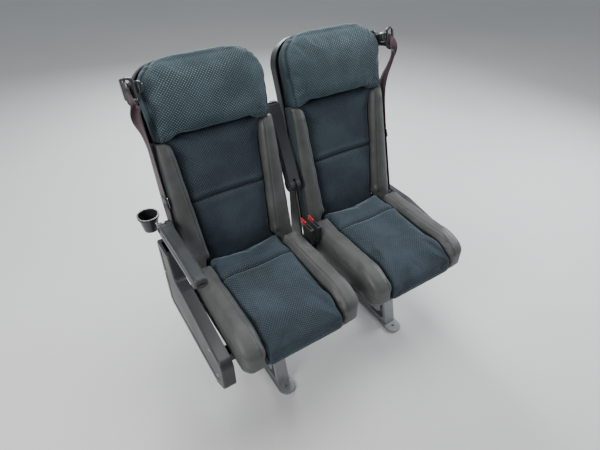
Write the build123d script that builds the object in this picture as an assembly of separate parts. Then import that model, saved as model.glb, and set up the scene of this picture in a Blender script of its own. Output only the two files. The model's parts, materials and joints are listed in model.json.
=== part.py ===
from build123d import *
import os

# Coach double seat: two reclining places on one floor-standing frame.
# Millimetres. +X is to the right of someone facing the seat, the seat faces -Y, +Z is up.
# The origin is on the floor, in the middle of the four floor bolts.
# The aisle place is on the -X side and the window place on the +X side.

# Driving dimensions of the whole seat
SEAT_SPACING = 482.0      # between the centre lines of the two places
PIVOT_Y = 110.0           # recline pivot, behind the origin
PIVOT_Z = 360.0           # recline pivot, above the floor
REST_LEAN = 15.7          # lean of the upright back from the vertical, degrees
GAP = 0.3                 # running gap between pieces that only touch

# Frame
BEAM = 40.0               # square beam tube, outside
BEAM_WALL = 2.5
BEAM_TOP = 325.0          # top of the beams above the floor
BEAM_FRONT_Y = -170.0
LEG_X = 262.0             # legs, from the centre line
LEG_WIDTH = 46.0
LEG_WEB = 6.0             # web of the cast leg
LEG_RIM = 14.0            # rim of the cast leg
LEG_HEAD_R = 8.0
LEG_WAIST_R = 60.0
LEG_WINDOW_R = 20.0
LEG_SLANT = 1.35          # a border is this much wider along Y at the slanting feet
LEG_SINK = 1.0            # casting sunk into the foot plate
FOOT_LENGTH = 480.0
FOOT_WIDTH = 64.0
FOOT_THICK = 9.0
BOLT_SPACING_Y = 420.0
BOLT_HOLE_R = 5.5
BOLT_ROOM = 18.0          # from a bolt to the casting above the foot
BEAM_SADDLE = 34.0        # the leg's head reaches this far past a beam's centre line
WAIST_HALF = 150.0        # half length of the leg at its waist
WAIST_Z = 170.0
WINDOW_BORDER = 44.0      # leg's metal round its window
BRACKET_THICK = 6.0       # recline brackets on the rear beam
BRACKET_FOOT = 22.0
BRACKET_HALF = 24.0       # half length of the brackets' and posts' feet
BRACKET_HEAD = 20.0
FOOT_PLATE = 6.0
PIN_END = 3.0             # a pin stands this far out of its ear
PIN_R = 8.0
PIN_GAP = 0.3             # radial gap of a pin in its hole

# Seat cushion
CUSHION_TOP = 456.0
CUSHION_BOTTOM = 336.0
CUSHION_FRONT = -322.0
CUSHION_REAR = 108.0      # centre insert reaches under the back
CUSHION_INSERT_HALF = 136.0
CUSHION_HALF = 212.0
CUSHION_BOLSTER_REAR = 72.0
CUSHION_BOLSTER_RISE = 12.0
CUSHION_CROWN = 8.0       # the top is higher by this just behind the front edge
CUSHION_NOSE = 40.0
CUSHION_DROP = 14.0
CUSHION_SEAM = 115.0      # cross seam, ahead of the rear end
CUSHION_SIDE_R = 16.0
CUSHION_FOOT_R = 12.0
CUSHION_REAR_R = 18.0
CUSHION_CROWN_R = 60.0
CUSHION_NOSE_R = 30.0
SEAM_R = 2.5             # sewn-in grooves
PAN_THICK = 2.0
PAN_LIP = 16.0
PAN_HALF = 196.0
PAN_FRONT = -292.0
PAN_REAR = 62.0
PAN_TAB_HALF = 184.0      # tab that rests on the rear beam, between the pivot ears
PAN_TAB_OVER = 14.0
PAN_CORNER_R = 22.0
PAN_SLOT_LONG = 130.0
PAN_SLOT_WIDE = 46.0
PAN_SLOT_SPACING = 98.0
PAN_SLOT_SHIFT = 58.0     # the slots lie behind the pan's middle

# Back, measured along the back from the recline pivot (height) and across it (depth, + to the rear)
BACK_HALF = 208.0         # half width below the head part
BACK_LOW = 60.0
BACK_TOP = 753.0
HEAD_LIP = 528.0          # lower edge of the head pad
HEAD_LOW_HALF = 206.0
HEAD_HALF = 223.0
HEAD_CORNER_R = 96.0
HEAD_FRONT = -60.0
HEAD_EDGE_R = 30.0
PAD_REAR = 16.0           # back face of all the pads
HEAD_FOOT_R = 34.0
PANEL_FRONT = -22.0
PANEL_LUMBAR = -28.0      # front of the panel where it is fullest
PANEL_FOOT = -10.0        # and at its lower end, which stays clear of the cushion
PANEL_LOW = 48.0
PANEL_SEAM = 307.0        # height of the cross seam
PANEL_SWEEP_R = 400.0     # rounding of the full part
LUMBAR_HEIGHT = 205.0
PANEL_HALF_TOP = 150.0
PANEL_HALF_LOW = 122.0
BOLSTER_FRONT = -46.0
BOLSTER_LOW = 62.0
BOLSTER_STEP = 93.0       # below this the bolsters stand clear of the cushion
BOLSTER_ROOM = 6.0        # from the cushion insert to the bolster beside it
BOLSTER_R = 26.0
BOLSTER_EDGE_R = 18.0
SHELL_WALL = 3.0
SHELL_REAR_LOW = 76.0
SHELL_REAR_TOP = 50.0
SHELL_BEND_LOW = 330.0    # the shell slopes from its deep lower part to its flat upper part
SHELL_BEND_TOP = 560.0
SHELL_BEND_R = 200.0
SHELL_RIM = 10.0          # the head pad stands above the shell by this
SHELL_TAPER = 4.0         # and beside it by this
SHELL_TOP_ROLL = 40.0
FIELD_HALF = 160.0        # pressed-in field above the pocket
FIELD_LOW = 352.0
FIELD_TOP = 640.0
FIELD_DEEP = 4.0
FIELD_R = 36.0
HOOP_HALF = 184.0         # back frame tube
HOOP_R = 12.5
HOOP_DEPTH = 34.0
HOOP_TOP = 690.0
HOOP_CORNER_R = 70.0
HOOP_LOW = 52.0
HOOP_ROOM = 5.0           # round the tube where it leaves the shell
LUMBAR_TUBE_R = 8.0
LUMBAR_TUBE_HEIGHT = 250.0
EAR_HALF = 190.0          # inner face of the ear on each side
EAR_THICK = 6.0
EAR_R = 23.0
EAR_GAP = 3.0             # between an ear and its recline bracket
EAR_TOP = 130.0

# Belt
WEB_WIDTH = 47.0
WEB_THICK = 1.6
WEB_SIDE = BACK_HALF + 4.0
GUIDE_HEIGHT = 680.0      # centre of the shoulder guide
GUIDE_OFFSET = 229.0
GUIDE_LONG = 80.0
GUIDE_WIDE = 36.0
GUIDE_RIM = 8.0
GUIDE_THICK = 12.0
GUIDE_FRONT = -68.0
BRIDGE_X = 219.6          # side bridge between the loop and the exit cover
BRIDGE_THICK = 4.0
BRIDGE_HALF = 20.0
EXIT_FRONT = 20.0         # cover where the strap leaves the shell
EXIT_DEEP = 26.0
EXIT_WIDE = 16.0
EXIT_HALF = 32.0
WEB_FOLD = 4.0            # the strap stands this far in front of the loop
BOSS_R = 13.0             # round knob on the loop's inner side
BOSS_RISE = 6.0
BOSS_FRONT = 4.0
EXIT_WALL = 3.0
EXIT_R = 8.0

# Armrests
ARM_PIVOT_Y = 155.0
ARM_PIVOT_Z = 608.0
ARM_LENGTH = 300.0        # pivot to tip
ARM_WIDTH = 44.0
ARM_RAISE = 116.0         # from level to folded up
ARM_HUB_R = 24.0
ARM_PAD_TOP = 28.0
ARM_PAD_THICK = 27.0
ARM_PAD_REAR = -8.0
ARM_CORE_DEEP = 20.0      # core below the pad
ARM_NOSE = 7.0            # the pad wraps the front end by this much
POST_THICK = 8.0
POST_HALF = 19.0
POST_FOOT = 17.0
POST_FOOT_HALF = 46.0
POST_NECK = 40.0          # the post has its full height's width from here up
POST_WAIST_R = 60.0
FORK_ROOM = 1.5           # between a post and each cheek of its armrest
CORE_SIDE = 1.5           # the pad stands over the core by this
CORE_TIP = 12.0           # height of the core's front end
PIN_INSET = 3.0
BUTTON_LONG = 20.0
BUTTON_HIGH = 12.0
BUTTON_OUT = 3.0

# Cup holder behind the aisle armrest
CUP_OFFSET = 17.0         # outboard of the armrest's centre line
CUP_Y = 302.0
CUP_TOP = 578.0
CUP_RING_R = 38.0
CUP_BORE_R = 33.0
CUP_DEPTH = 62.0
CUP_WALL = 3.0
CUP_RING = 8.0
CUP_FOOT_R = 25.0
CUP_DRAIN_R = 6.0
CUP_STRAP = 5.0           # bracket between cup and post
CUP_STRAP_HALF = 11.5
CUP_STRAP_DOWN = 19.5

# Side covers
COVER_FRONT = -268.0
COVER_REAR = 214.0
COVER_LOW = 236.0
COVER_LEDGE = 446.0
COVER_STEP = 20.0         # the ledge slopes down in front of this
COVER_POST_TOP = 540.0
COVER_WALL = 3.0
COVER_DEPTH = 40.0
COVER_SHALLOW = 26.0
COVER_INSET = 13.0
COVER_SLOPE = 52.0        # fall of the ledge towards the front
COVER_CHIN = 40.0
COVER_CHIN_DEEP = 60.0
COVER_HUMP = 110.0        # length of the raised rear part
COVER_HUMP_SLOPE = 26.0
COVER_RIM_R = 6.0
COVER_BORDER = 30.0       # round the pressed-in field
COVER_FIELD = 1.2
COVER_PEG_PLAY = 0.5      # pegs fit the beam ends with this much room

# Magazine pocket, buckles, strap ends
POCKET_HALF = 150.0
POCKET_LOW = 150.0
POCKET_TOP = 325.0
POCKET_DEPTH = 30.0
POCKET_WALL = 5.0
POCKET_FACE = 4.0
POCKET_FOOT_R = 34.0
POCKET_TOP_R = 12.0
BUCKLE_X = 16.0
BUCKLE_Y = 22.0
BUCKLE_TOP = 502.0
BUCKLE_TALL = 66.0
BUCKLE_HALF_LONG = 24.0
BUCKLE_HALF_WIDE = 8.0
BUCKLE_SLOT_DEEP = 30.0
BUCKLE_SLOT_LONG = 16.0
BUCKLE_SLOT_WIDE = 2.5
BUCKLE_R = 6.0
STALK_HALF = 11.0
STALK_THICK = 3.0
STALK_FOOT = 4.0
STALK_MARGIN = 6.0        # stalk's foot from the beam's upper and lower edge
ANCHOR_HEIGHT = 60.0
WEB_BEND = 560.0          # above this the strap runs outwards to the guide
WEB_FRONT = -30.0
TONGUE_HEIGHT = 330.0
TONGUE_THICK = 1.9
GRIP_HALF = 20.0
GRIP_OVER = 6.0           # the grip is wider than the strap by this on each side
BLADE_HALF = 12.0
BLADE_LOW = 52.0
ANCHOR_HALF = 24.0
ANCHOR_OVER = 2.0
ANCHOR_THICK = 2.3
ANCHOR_SCREW_R = 7.0
ARM_CORE_TOP = ARM_PAD_TOP - ARM_PAD_THICK

ARM_SIDE = 241.0          # aisle armrest's centre line from its place's centre line
AISLE_X = -SEAT_SPACING / 2
WINDOW_X = SEAT_SPACING / 2
PLACES = (("aisle", AISLE_X, -1.0), ("window", WINDOW_X, 1.0))   # name, centre, outboard direction
ARM_X = AISLE_X - ARM_SIDE
ARMS = (("aisle", ARM_X, 0.0), ("centre", 0.0, ARM_RAISE))   # name, centre line, raised angle at rest
PIVOT_AXIS = Axis((0, PIVOT_Y, PIVOT_Z), (1, 0, 0))
BEAM_REAR_Y = PIVOT_Y


def save(shape, name):
    export_step(shape, f"parts/{name}.step")


def along_x(face, x_from, x_to):
    """A profile drawn as (y, z), run from one x to another."""
    return extrude(Plane.YZ.offset(x_from) * face, x_to - x_from, dir=(1, 0, 0))


def along_y(face, y_from, y_to):
    """A profile drawn as (x, z), run from one y to another."""
    placed = Pos(0, y_from, 0) * (Rot(90, 0, 0) * face)
    return extrude(placed, y_to - y_from, dir=(0, 1, 0))


def block(x_from, x_to, y_from, y_to, z_from, z_to):
    size = (x_to - x_from, y_to - y_from, z_to - z_from)
    middle = ((x_from + x_to) / 2, (y_from + y_to) / 2, (z_from + z_to) / 2)
    return Pos(*middle) * Box(*size)


def shape_of(points, radii=0.0):
    """A closed outline; one corner radius for all, or one for each point."""
    outline = make_face(Polyline(*points, close=True))
    if isinstance(radii, (int, float)):
        return fillet(outline.vertices(), radii) if radii else outline
    for point, radius in zip(points, radii):
        if radius:
            corner = min(outline.vertices(), key=lambda v: (v.X - point[0]) ** 2 + (v.Y - point[1]) ** 2)
            outline = fillet(corner, radius)
    return outline


def on_back(shape, centre):
    """Takes a piece drawn about x = 0, depth 0, height 0 to its place on the leaning back."""
    return (Pos(centre, PIVOT_Y, PIVOT_Z) * shape).rotate(PIVOT_AXIS, -REST_LEAN)


def leg_ring(border, radii):
    """The leg's outline pulled in by a border: the cast window, an edge of the web, or the casting itself."""
    top = BEAM_TOP - BEAM - GAP - border
    front, rear = BEAM_FRONT_Y - BEAM_SADDLE + border, BEAM_REAR_Y + BEAM_SADDLE - border
    foot = BOLT_SPACING_Y / 2 - BOLT_ROOM - LEG_SLANT * border
    low, waist = FOOT_THICK - LEG_SINK + border, WAIST_HALF - border
    corners = [(front, top), (rear, top), (waist, WAIST_Z), (foot, low), (-foot, low), (-waist, WAIST_Z)]
    return shape_of(corners, radii)


def leg():
    """Cast leg: a waisted I section with a window, a long foot and two beam saddles."""
    outer = leg_ring(0.0, (LEG_HEAD_R, LEG_HEAD_R, LEG_WAIST_R, 0, 0, LEG_WAIST_R))
    window = leg_ring(WINDOW_BORDER, LEG_WINDOW_R)
    casting = along_x(outer, -LEG_WIDTH / 2, LEG_WIDTH / 2) - along_x(window, -LEG_WIDTH, LEG_WIDTH)
    inside_rim = leg_ring(LEG_RIM, LEG_RIM)
    window_rim = leg_ring(WINDOW_BORDER - LEG_RIM, LEG_WINDOW_R + 4)
    pocket = along_x(inside_rim, LEG_WEB / 2, LEG_WIDTH) - along_x(window_rim, 0, LEG_WIDTH * 2)
    casting = casting - pocket - pocket.mirror(Plane.YZ)
    foot = extrude(SlotOverall(FOOT_LENGTH, FOOT_WIDTH, rotation=90), FOOT_THICK)
    for bolt_y in (-BOLT_SPACING_Y / 2, BOLT_SPACING_Y / 2):
        foot = foot - Pos(0, bolt_y, FOOT_THICK / 2) * Cylinder(BOLT_HOLE_R, FOOT_THICK * 2)
    return casting + foot


def beam(y_centre, x_from, x_to):
    z_centre = BEAM_TOP - BEAM / 2
    bore = BEAM - 2 * BEAM_WALL
    section = fillet(Rectangle(BEAM, BEAM).vertices(), BEAM_WALL + 1.5) - Rectangle(bore, bore)
    return along_x(Pos(y_centre, z_centre) * section, x_from, x_to)


def foot_plate(half_wide, x_from):
    """Plate by which brackets and posts stand on the rear beam."""
    front, rear = PIVOT_Y - BRACKET_HALF, PIVOT_Y + BRACKET_HALF
    return block(x_from, half_wide, front, rear, BEAM_TOP + GAP, BEAM_TOP + GAP + FOOT_PLATE)


def recline_bracket():
    """Upright plate with a foot on the rear beam and the recline pin, for the +X side of a place."""
    foot_z, head_z = BEAM_TOP + GAP, PIVOT_Z + BRACKET_HEAD
    plate = shape_of([(PIVOT_Y - BRACKET_HALF, foot_z), (PIVOT_Y + BRACKET_HALF, foot_z),
                      (PIVOT_Y + BRACKET_HEAD, head_z), (PIVOT_Y - BRACKET_HEAD, head_z)],
                     (0, 0, BRACKET_HEAD - 1, BRACKET_HEAD - 1))
    body = along_x(plate, 0, BRACKET_THICK) + foot_plate(BRACKET_FOOT, 0)
    pin_reach = EAR_GAP + EAR_THICK + PIN_END
    return body + along_x(Pos(PIVOT_Y, PIVOT_Z) * Circle(PIN_R), -pin_reach, BRACKET_THICK)


def arm_post(x_centre):
    """Blade that rises from the rear beam to the armrest pivot, with the armrest's pin."""
    foot_z = BEAM_TOP + GAP
    front, rear = ARM_PIVOT_Y - POST_HALF, ARM_PIVOT_Y + POST_HALF
    blade = shape_of([(PIVOT_Y - POST_FOOT_HALF, foot_z), (PIVOT_Y + POST_FOOT_HALF, foot_z),
                      (rear, ARM_PIVOT_Z - POST_NECK), (rear, ARM_PIVOT_Z + POST_HALF),
                      (front, ARM_PIVOT_Z + POST_HALF), (front, ARM_PIVOT_Z - POST_NECK)],
                     (0, 0, POST_WAIST_R, POST_HALF - 1, POST_HALF - 1, POST_WAIST_R))
    body = along_x(blade, -POST_THICK / 2, POST_THICK / 2) + foot_plate(POST_FOOT, -POST_FOOT)
    pin_half = ARM_WIDTH / 2 - PIN_INSET
    body += along_x(Pos(ARM_PIVOT_Y, ARM_PIVOT_Z) * Circle(PIN_R), -pin_half, pin_half)
    return Pos(x_centre, 0, 0) * body


def seat_pan():
    """Pressed tray with lightening slots and a tab onto the rear beam."""
    base = BEAM_TOP + GAP
    tray = block(-PAN_HALF, PAN_HALF, PAN_FRONT, PAN_REAR, base, CUSHION_BOTTOM - GAP)
    tray = fillet(tray.edges().filter_by(Axis.Z), PAN_CORNER_R)
    hollow = block(-PAN_HALF + PAN_THICK, PAN_HALF - PAN_THICK, PAN_FRONT + PAN_THICK, PAN_REAR - PAN_THICK,
                   base + PAN_THICK, base + PAN_LIP)
    tray = tray - fillet(hollow.edges().filter_by(Axis.Z), PAN_CORNER_R - PAN_THICK)
    slot = extrude(SlotOverall(PAN_SLOT_LONG, PAN_SLOT_WIDE, rotation=90), PAN_LIP / 2, both=True)
    for x in (-PAN_SLOT_SPACING, 0, PAN_SLOT_SPACING):
        tray = tray - Pos(x, (PAN_FRONT + PAN_REAR) / 2 + PAN_SLOT_SHIFT, base) * slot
    return tray + block(-PAN_TAB_HALF, PAN_TAB_HALF, PAN_REAR - 1, BEAM_REAR_Y + PAN_TAB_OVER, base,
                        base + PAN_THICK)


def cushion_profile(front, rear, top):
    """Side view of the cushion: crowned towards the front, where it rolls down."""
    return shape_of([(front, CUSHION_BOTTOM), (rear, CUSHION_BOTTOM), (rear, top),
                     (front + CUSHION_NOSE, top + CUSHION_CROWN), (front, top - CUSHION_DROP)],
                    (CUSHION_FOOT_R, CUSHION_FOOT_R, CUSHION_REAR_R, CUSHION_CROWN_R, CUSHION_NOSE_R))


def cushion_insert():
    """Middle of the cushion with its cross seam."""
    seam_y = CUSHION_REAR - CUSHION_SEAM
    rise = CUSHION_CROWN * CUSHION_SEAM / (CUSHION_REAR - CUSHION_FRONT - CUSHION_NOSE)
    profile = cushion_profile(CUSHION_FRONT, CUSHION_REAR, CUSHION_TOP)
    profile = profile - Pos(seam_y, CUSHION_TOP + rise) * Circle(SEAM_R)
    return along_x(profile, -CUSHION_INSERT_HALF, CUSHION_INSERT_HALF)


def cushion_bolsters():
    sides = []
    for side in (-1, 1):
        inner = side * (CUSHION_INSERT_HALF + GAP)
        outer = side * CUSHION_HALF
        profile = cushion_profile(CUSHION_FRONT + 6, CUSHION_BOLSTER_REAR, CUSHION_TOP + CUSHION_BOLSTER_RISE)
        body = along_x(profile, min(inner, outer), max(inner, outer))
        edges = [e for e in body.edges() if abs(e.center().X - outer) < 1 and e.center().Z > CUSHION_TOP - 10]
        sides.append(fillet(edges, CUSHION_SIDE_R))
    return sides[0] + sides[1]


def head_pad():
    outline = shape_of([(-HEAD_LOW_HALF, HEAD_LIP), (HEAD_LOW_HALF, HEAD_LIP), (HEAD_HALF, BACK_TOP),
                        (-HEAD_HALF, BACK_TOP)], (HEAD_FOOT_R, HEAD_FOOT_R, HEAD_CORNER_R, HEAD_CORNER_R))
    pad = along_y(outline, HEAD_FRONT, PAD_REAR)
    front = [e for e in pad.edges() if e.center().Y < HEAD_FRONT + 1]
    pad = fillet(front, HEAD_EDGE_R)
    for side in (-1, 1):
        notch_x = sorted((side * (BRIDGE_X - GAP), side * 2 * BRIDGE_X))
        pad = pad - block(*notch_x, 2 * HEAD_FRONT, 2 * PAD_REAR, GUIDE_HEIGHT - BRIDGE_HALF - 1,
                          GUIDE_HEIGHT + BRIDGE_HALF + 1)
    return pad


def back_panel():
    """Middle of the back: widest under the head pad, fullest at the loins, with a cross seam."""
    foot = CUSHION_INSERT_HALF + BOLSTER_ROOM - GAP
    step, top = BOLSTER_STEP - 1 - GAP, HEAD_LIP - GAP
    half_view = [(foot, PANEL_LOW), (foot, step), (PANEL_HALF_LOW, step), (PANEL_HALF_TOP, top)]
    outline = shape_of(half_view + [(-x, z) for x, z in reversed(half_view)], (4, 2, 0, 10, 10, 0, 2, 4))
    side_view = shape_of([(PAD_REAR, PANEL_LOW), (PANEL_FOOT, PANEL_LOW), (PANEL_LUMBAR, LUMBAR_HEIGHT),
                          (PANEL_FRONT, PANEL_SEAM + LUMBAR_HEIGHT / 2), (PANEL_FRONT, top), (PAD_REAR, top)],
                         (0, 6, PANEL_SWEEP_R, PANEL_SWEEP_R, 6, 0))
    seam_front = PANEL_LUMBAR + (PANEL_FRONT - PANEL_LUMBAR) * (2 * (PANEL_SEAM - LUMBAR_HEIGHT) /
                                                               (2 * PANEL_SEAM - LUMBAR_HEIGHT))
    side_view = side_view - Pos(seam_front, PANEL_SEAM) * Circle(SEAM_R)
    return along_y(outline, PANEL_LUMBAR - 5, PAD_REAR) & along_x(side_view, -BACK_HALF, BACK_HALF)


def back_bolsters():
    sides = []
    for side in (-1, 1):
        inner_low = side * (PANEL_HALF_LOW + GAP)
        inner_foot = side * (CUSHION_INSERT_HALF + BOLSTER_ROOM)
        inner_top = side * (PANEL_HALF_TOP + GAP)
        outer = side * BACK_HALF
        top = HEAD_LIP - GAP
        outline = shape_of([(inner_foot, BOLSTER_LOW), (outer, BOLSTER_LOW), (outer, top), (inner_top, top),
                            (inner_low, BOLSTER_STEP), (inner_foot, BOLSTER_STEP - 1)],
                           (8, BOLSTER_R, BOLSTER_R, 8, 0, 0))
        body = along_y(outline, BOLSTER_FRONT, PAD_REAR)
        front = [e for e in body.edges() if e.center().Y < BOLSTER_FRONT + 1 and abs(e.center().X - outer) < 2]
        sides.append(fillet(front, BOLSTER_EDGE_R))
    return sides[0] + sides[1]


def shell_side(front, inset):
    """Side view of the shell: deep below the bend, flat behind the head."""
    low, top = BACK_LOW + inset, BACK_TOP - SHELL_RIM - inset
    rear_low, rear_top = SHELL_REAR_LOW - inset, SHELL_REAR_TOP - inset
    return shape_of([(front, low), (rear_low - 14, low), (rear_low, low + 60), (rear_low, SHELL_BEND_LOW),
                     (rear_top, SHELL_BEND_TOP), (rear_top, top - SHELL_TOP_ROLL), (rear_top - 16, top),
                     (front, top)], (0, 10, 40, SHELL_BEND_R, SHELL_BEND_R, 30, 10, 0))


def shell_field(border, deep):
    """What the pressed-in field takes from the rear of a shell."""
    half, low, top = FIELD_HALF + border, FIELD_LOW - border, FIELD_TOP + border
    outline = shape_of([(-half, low), (half, low), (half, top), (-half, top)], FIELD_R + border)
    floor = along_x(shell_side(0, deep), -HEAD_HALF, HEAD_HALF)
    return along_y(outline, HOOP_DEPTH, 2 * SHELL_REAR_LOW) - floor


def shell_body(inset):
    """The moulded rear shell, or with an inset the room inside it."""
    half_low, half_top = BACK_HALF - inset, HEAD_HALF - SHELL_TAPER - inset
    low, top = BACK_LOW + inset, BACK_TOP - SHELL_RIM - inset
    foot_r, head_r = 30 - inset, HEAD_CORNER_R - SHELL_TAPER - 2 - inset
    outline = shape_of([(-half_low, low), (half_low, low), (half_low, HEAD_LIP), (half_top, top),
                        (-half_top, top), (-half_low, HEAD_LIP)], (foot_r, foot_r, 0, head_r, head_r, 0))
    front = PAD_REAR + GAP - (10 if inset else 0)
    side_view = along_x(shell_side(front, inset), -HEAD_HALF, HEAD_HALF)
    return (along_y(outline, front, 2 * SHELL_REAR_LOW) & side_view) - shell_field(inset, FIELD_DEEP + inset)


def back_shell():
    """Thin moulded shell with a pressed-in field, open to the front and where the frame's tubes leave it."""
    shell = shell_body(0.0) - shell_body(SHELL_WALL)
    room = HOOP_R + HOOP_ROOM
    for x_tube in (-HOOP_HALF, HOOP_HALF):
        rear, top = HOOP_DEPTH + room, BACK_LOW + room
        shell = shell - block(x_tube - room, x_tube + room, 0, rear, BACK_LOW - 2, top)
    return shell


def back_frame():
    """Bent tube hoop with a lumbar cross tube and a pivot ear on each side."""
    path = FilletPolyline((-HOOP_HALF, HOOP_DEPTH, HOOP_LOW), (-HOOP_HALF, HOOP_DEPTH, HOOP_TOP),
                          (HOOP_HALF, HOOP_DEPTH, HOOP_TOP), (HOOP_HALF, HOOP_DEPTH, HOOP_LOW),
                          radius=HOOP_CORNER_R)
    hoop = sweep(Plane((-HOOP_HALF, HOOP_DEPTH, HOOP_LOW), z_dir=(0, 0, 1)) * Circle(HOOP_R), path)
    frame = hoop + along_x(Pos(HOOP_DEPTH, LUMBAR_TUBE_HEIGHT) * Circle(LUMBAR_TUBE_R), -HOOP_HALF, HOOP_HALF)
    front, rear = HOOP_DEPTH - HOOP_R, HOOP_DEPTH + HOOP_R
    ear = shape_of([(-EAR_R, -EAR_R), (EAR_R, -EAR_R), (rear, HOOP_LOW - 6), (rear, EAR_TOP),
                    (front, EAR_TOP), (front, BOLSTER_LOW), (PAD_REAR, BOLSTER_LOW - 6), (-EAR_R, 20)],
                   (EAR_R - 1, EAR_R - 1, 10, 6, 6, 0, 0, EAR_R - 1))
    ear = ear - Circle(PIN_R + PIN_GAP)
    for side in (-1, 1):
        cheek = sorted((side * EAR_HALF, side * (EAR_HALF + EAR_THICK)))
        frame = frame + along_x(ear, *cheek)
    return frame


def belt_guide():
    """Shoulder loop, the bridge along the head pad and the exit cover on the shell, for the +X side."""
    wide = GUIDE_WIDE / 2
    slot_wide, slot_long = GUIDE_WIDE - 2 * GUIDE_RIM, GUIDE_LONG - 2 * GUIDE_RIM
    outer = fillet(Rectangle(GUIDE_WIDE, GUIDE_LONG).vertices(), wide - 1)
    slot = fillet(Rectangle(slot_wide, slot_long).vertices(), slot_wide / 2 - 1)
    loop = along_y(Pos(GUIDE_OFFSET, GUIDE_HEIGHT) * outer, GUIDE_FRONT, GUIDE_FRONT + GUIDE_THICK)
    bridge = block(BRIDGE_X, BRIDGE_X + BRIDGE_THICK, GUIDE_FRONT + 2, EXIT_FRONT + 4,
                   GUIDE_HEIGHT - BRIDGE_HALF, GUIDE_HEIGHT + BRIDGE_HALF)
    room = along_y(Pos(GUIDE_OFFSET + BRIDGE_THICK / 2, GUIDE_HEIGHT) * slot, GUIDE_FRONT - BOSS_RISE,
                   GUIDE_FRONT + GUIDE_THICK + 1)
    knob = Pos(GUIDE_OFFSET - wide, GUIDE_HEIGHT + BOSS_RISE) * Circle(BOSS_R)
    boss = along_y(knob, GUIDE_FRONT - BOSS_FRONT, GUIDE_FRONT + GUIDE_THICK / 2)
    exit_rear = EXIT_FRONT + EXIT_DEEP
    cover = block(BRIDGE_X, BRIDGE_X + EXIT_WIDE, EXIT_FRONT, exit_rear, GUIDE_HEIGHT - EXIT_HALF,
                  GUIDE_HEIGHT + EXIT_HALF)
    cover = fillet(cover.edges().filter_by(Axis.Y).sort_by(Axis.X)[-2:], EXIT_R)
    mouth_half = WEB_WIDTH / 2 + 2
    mouth = block(BRIDGE_X + BRIDGE_THICK, BRIDGE_X + EXIT_WIDE - EXIT_WALL, EXIT_FRONT - 1,
                  exit_rear - EXIT_WALL - 1, GUIDE_HEIGHT - mouth_half, GUIDE_HEIGHT + mouth_half)
    return ((loop + boss) - room) + bridge + (cover - mouth)


def belt_webbing():
    """Strap from the exit cover through the loop, over its rim and down to the anchor, for the +X side."""
    slot_x = BRIDGE_X + BRIDGE_THICK + 3
    front = GUIDE_FRONT - WEB_FOLD
    through = block(slot_x, slot_x + WEB_THICK, front, EXIT_FRONT + EXIT_DEEP - 2 * EXIT_WALL,
                    GUIDE_HEIGHT - WEB_WIDTH / 2, GUIDE_HEIGHT + WEB_WIDTH / 2)
    fold_low = GUIDE_HEIGHT - GUIDE_LONG / 2 - 10
    fold = block(slot_x, slot_x + 10, front, GUIDE_FRONT - GAP - 0.4, fold_low, GUIDE_HEIGHT + WEB_WIDTH / 2)
    line = [(WEB_SIDE, ANCHOR_HEIGHT), (WEB_SIDE, WEB_BEND), (slot_x, fold_low + 6)]
    back_line = [(x + WEB_THICK, z) for x, z in reversed(line)]
    hanging = along_y(shape_of(line + back_line), WEB_FRONT, WEB_FRONT + WEB_WIDTH)
    link = block(slot_x, slot_x + WEB_THICK, front, WEB_FRONT + 20, fold_low, fold_low + 8)
    return through + fold + link + hanging


def belt_anchor():
    """Folded steel lug on the pivot ear that ends the strap, for the +X side."""
    front, rear = WEB_FRONT - ANCHOR_OVER, WEB_FRONT + WEB_WIDTH + ANCHOR_OVER
    low, high = ANCHOR_HEIGHT - ANCHOR_HALF, ANCHOR_HEIGHT + ANCHOR_HALF
    lug = shape_of([(front, low), (rear, low), (rear, high), (front, high)], 10)
    plate = along_x(lug, WEB_SIDE - GAP - ANCHOR_THICK, WEB_SIDE - GAP)
    screw = Pos(12, ANCHOR_HEIGHT - 10) * Circle(ANCHOR_SCREW_R)
    return plate + along_x(screw, EAR_HALF + EAR_THICK + GAP, WEB_SIDE + 3)


def belt_tongue():
    """Metal tongue with its moulded grip, parked on the strap, for the +X side."""
    inner, outer = WEB_SIDE - GAP - TONGUE_THICK, WEB_SIDE - GAP
    middle = WEB_FRONT + WEB_WIDTH / 2 + 0.5
    grip = block(inner, outer, WEB_FRONT - GRIP_OVER, WEB_FRONT + WEB_WIDTH + GRIP_OVER,
                 TONGUE_HEIGHT - GRIP_HALF, TONGUE_HEIGHT + GRIP_HALF)
    grip = fillet(grip.edges().filter_by(Axis.X), 8)
    low, high = TONGUE_HEIGHT - BLADE_LOW, TONGUE_HEIGHT - GRIP_HALF + 2
    blade = shape_of([(middle - BLADE_HALF, low), (middle + BLADE_HALF, low), (middle + BLADE_HALF, high),
                      (middle - BLADE_HALF, high)], (6, 6, 0, 0))
    blade = blade - Pos(middle, low + 14) * Rectangle(10, 12)
    return grip + along_x(blade, inner, outer)


def magazine_pocket():
    """Framed pocket on the back of the shell, open at the top."""
    rear = SHELL_REAR_LOW + GAP
    outline = shape_of([(-POCKET_HALF, POCKET_LOW), (POCKET_HALF, POCKET_LOW), (POCKET_HALF, POCKET_TOP),
                        (-POCKET_HALF, POCKET_TOP)],
                       (POCKET_FOOT_R, POCKET_FOOT_R, POCKET_TOP_R, POCKET_TOP_R))
    half, low, high = POCKET_HALF - POCKET_WALL, POCKET_LOW + POCKET_WALL, POCKET_TOP + POCKET_DEPTH
    inner_r = POCKET_FOOT_R - POCKET_WALL
    inner = shape_of([(-half, low), (half, low), (half, high), (-half, high)], (inner_r, inner_r, 0, 0))
    body = along_y(outline, rear, rear + POCKET_DEPTH)
    return body - along_y(inner, rear - 1, rear + POCKET_DEPTH - POCKET_FACE)


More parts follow.
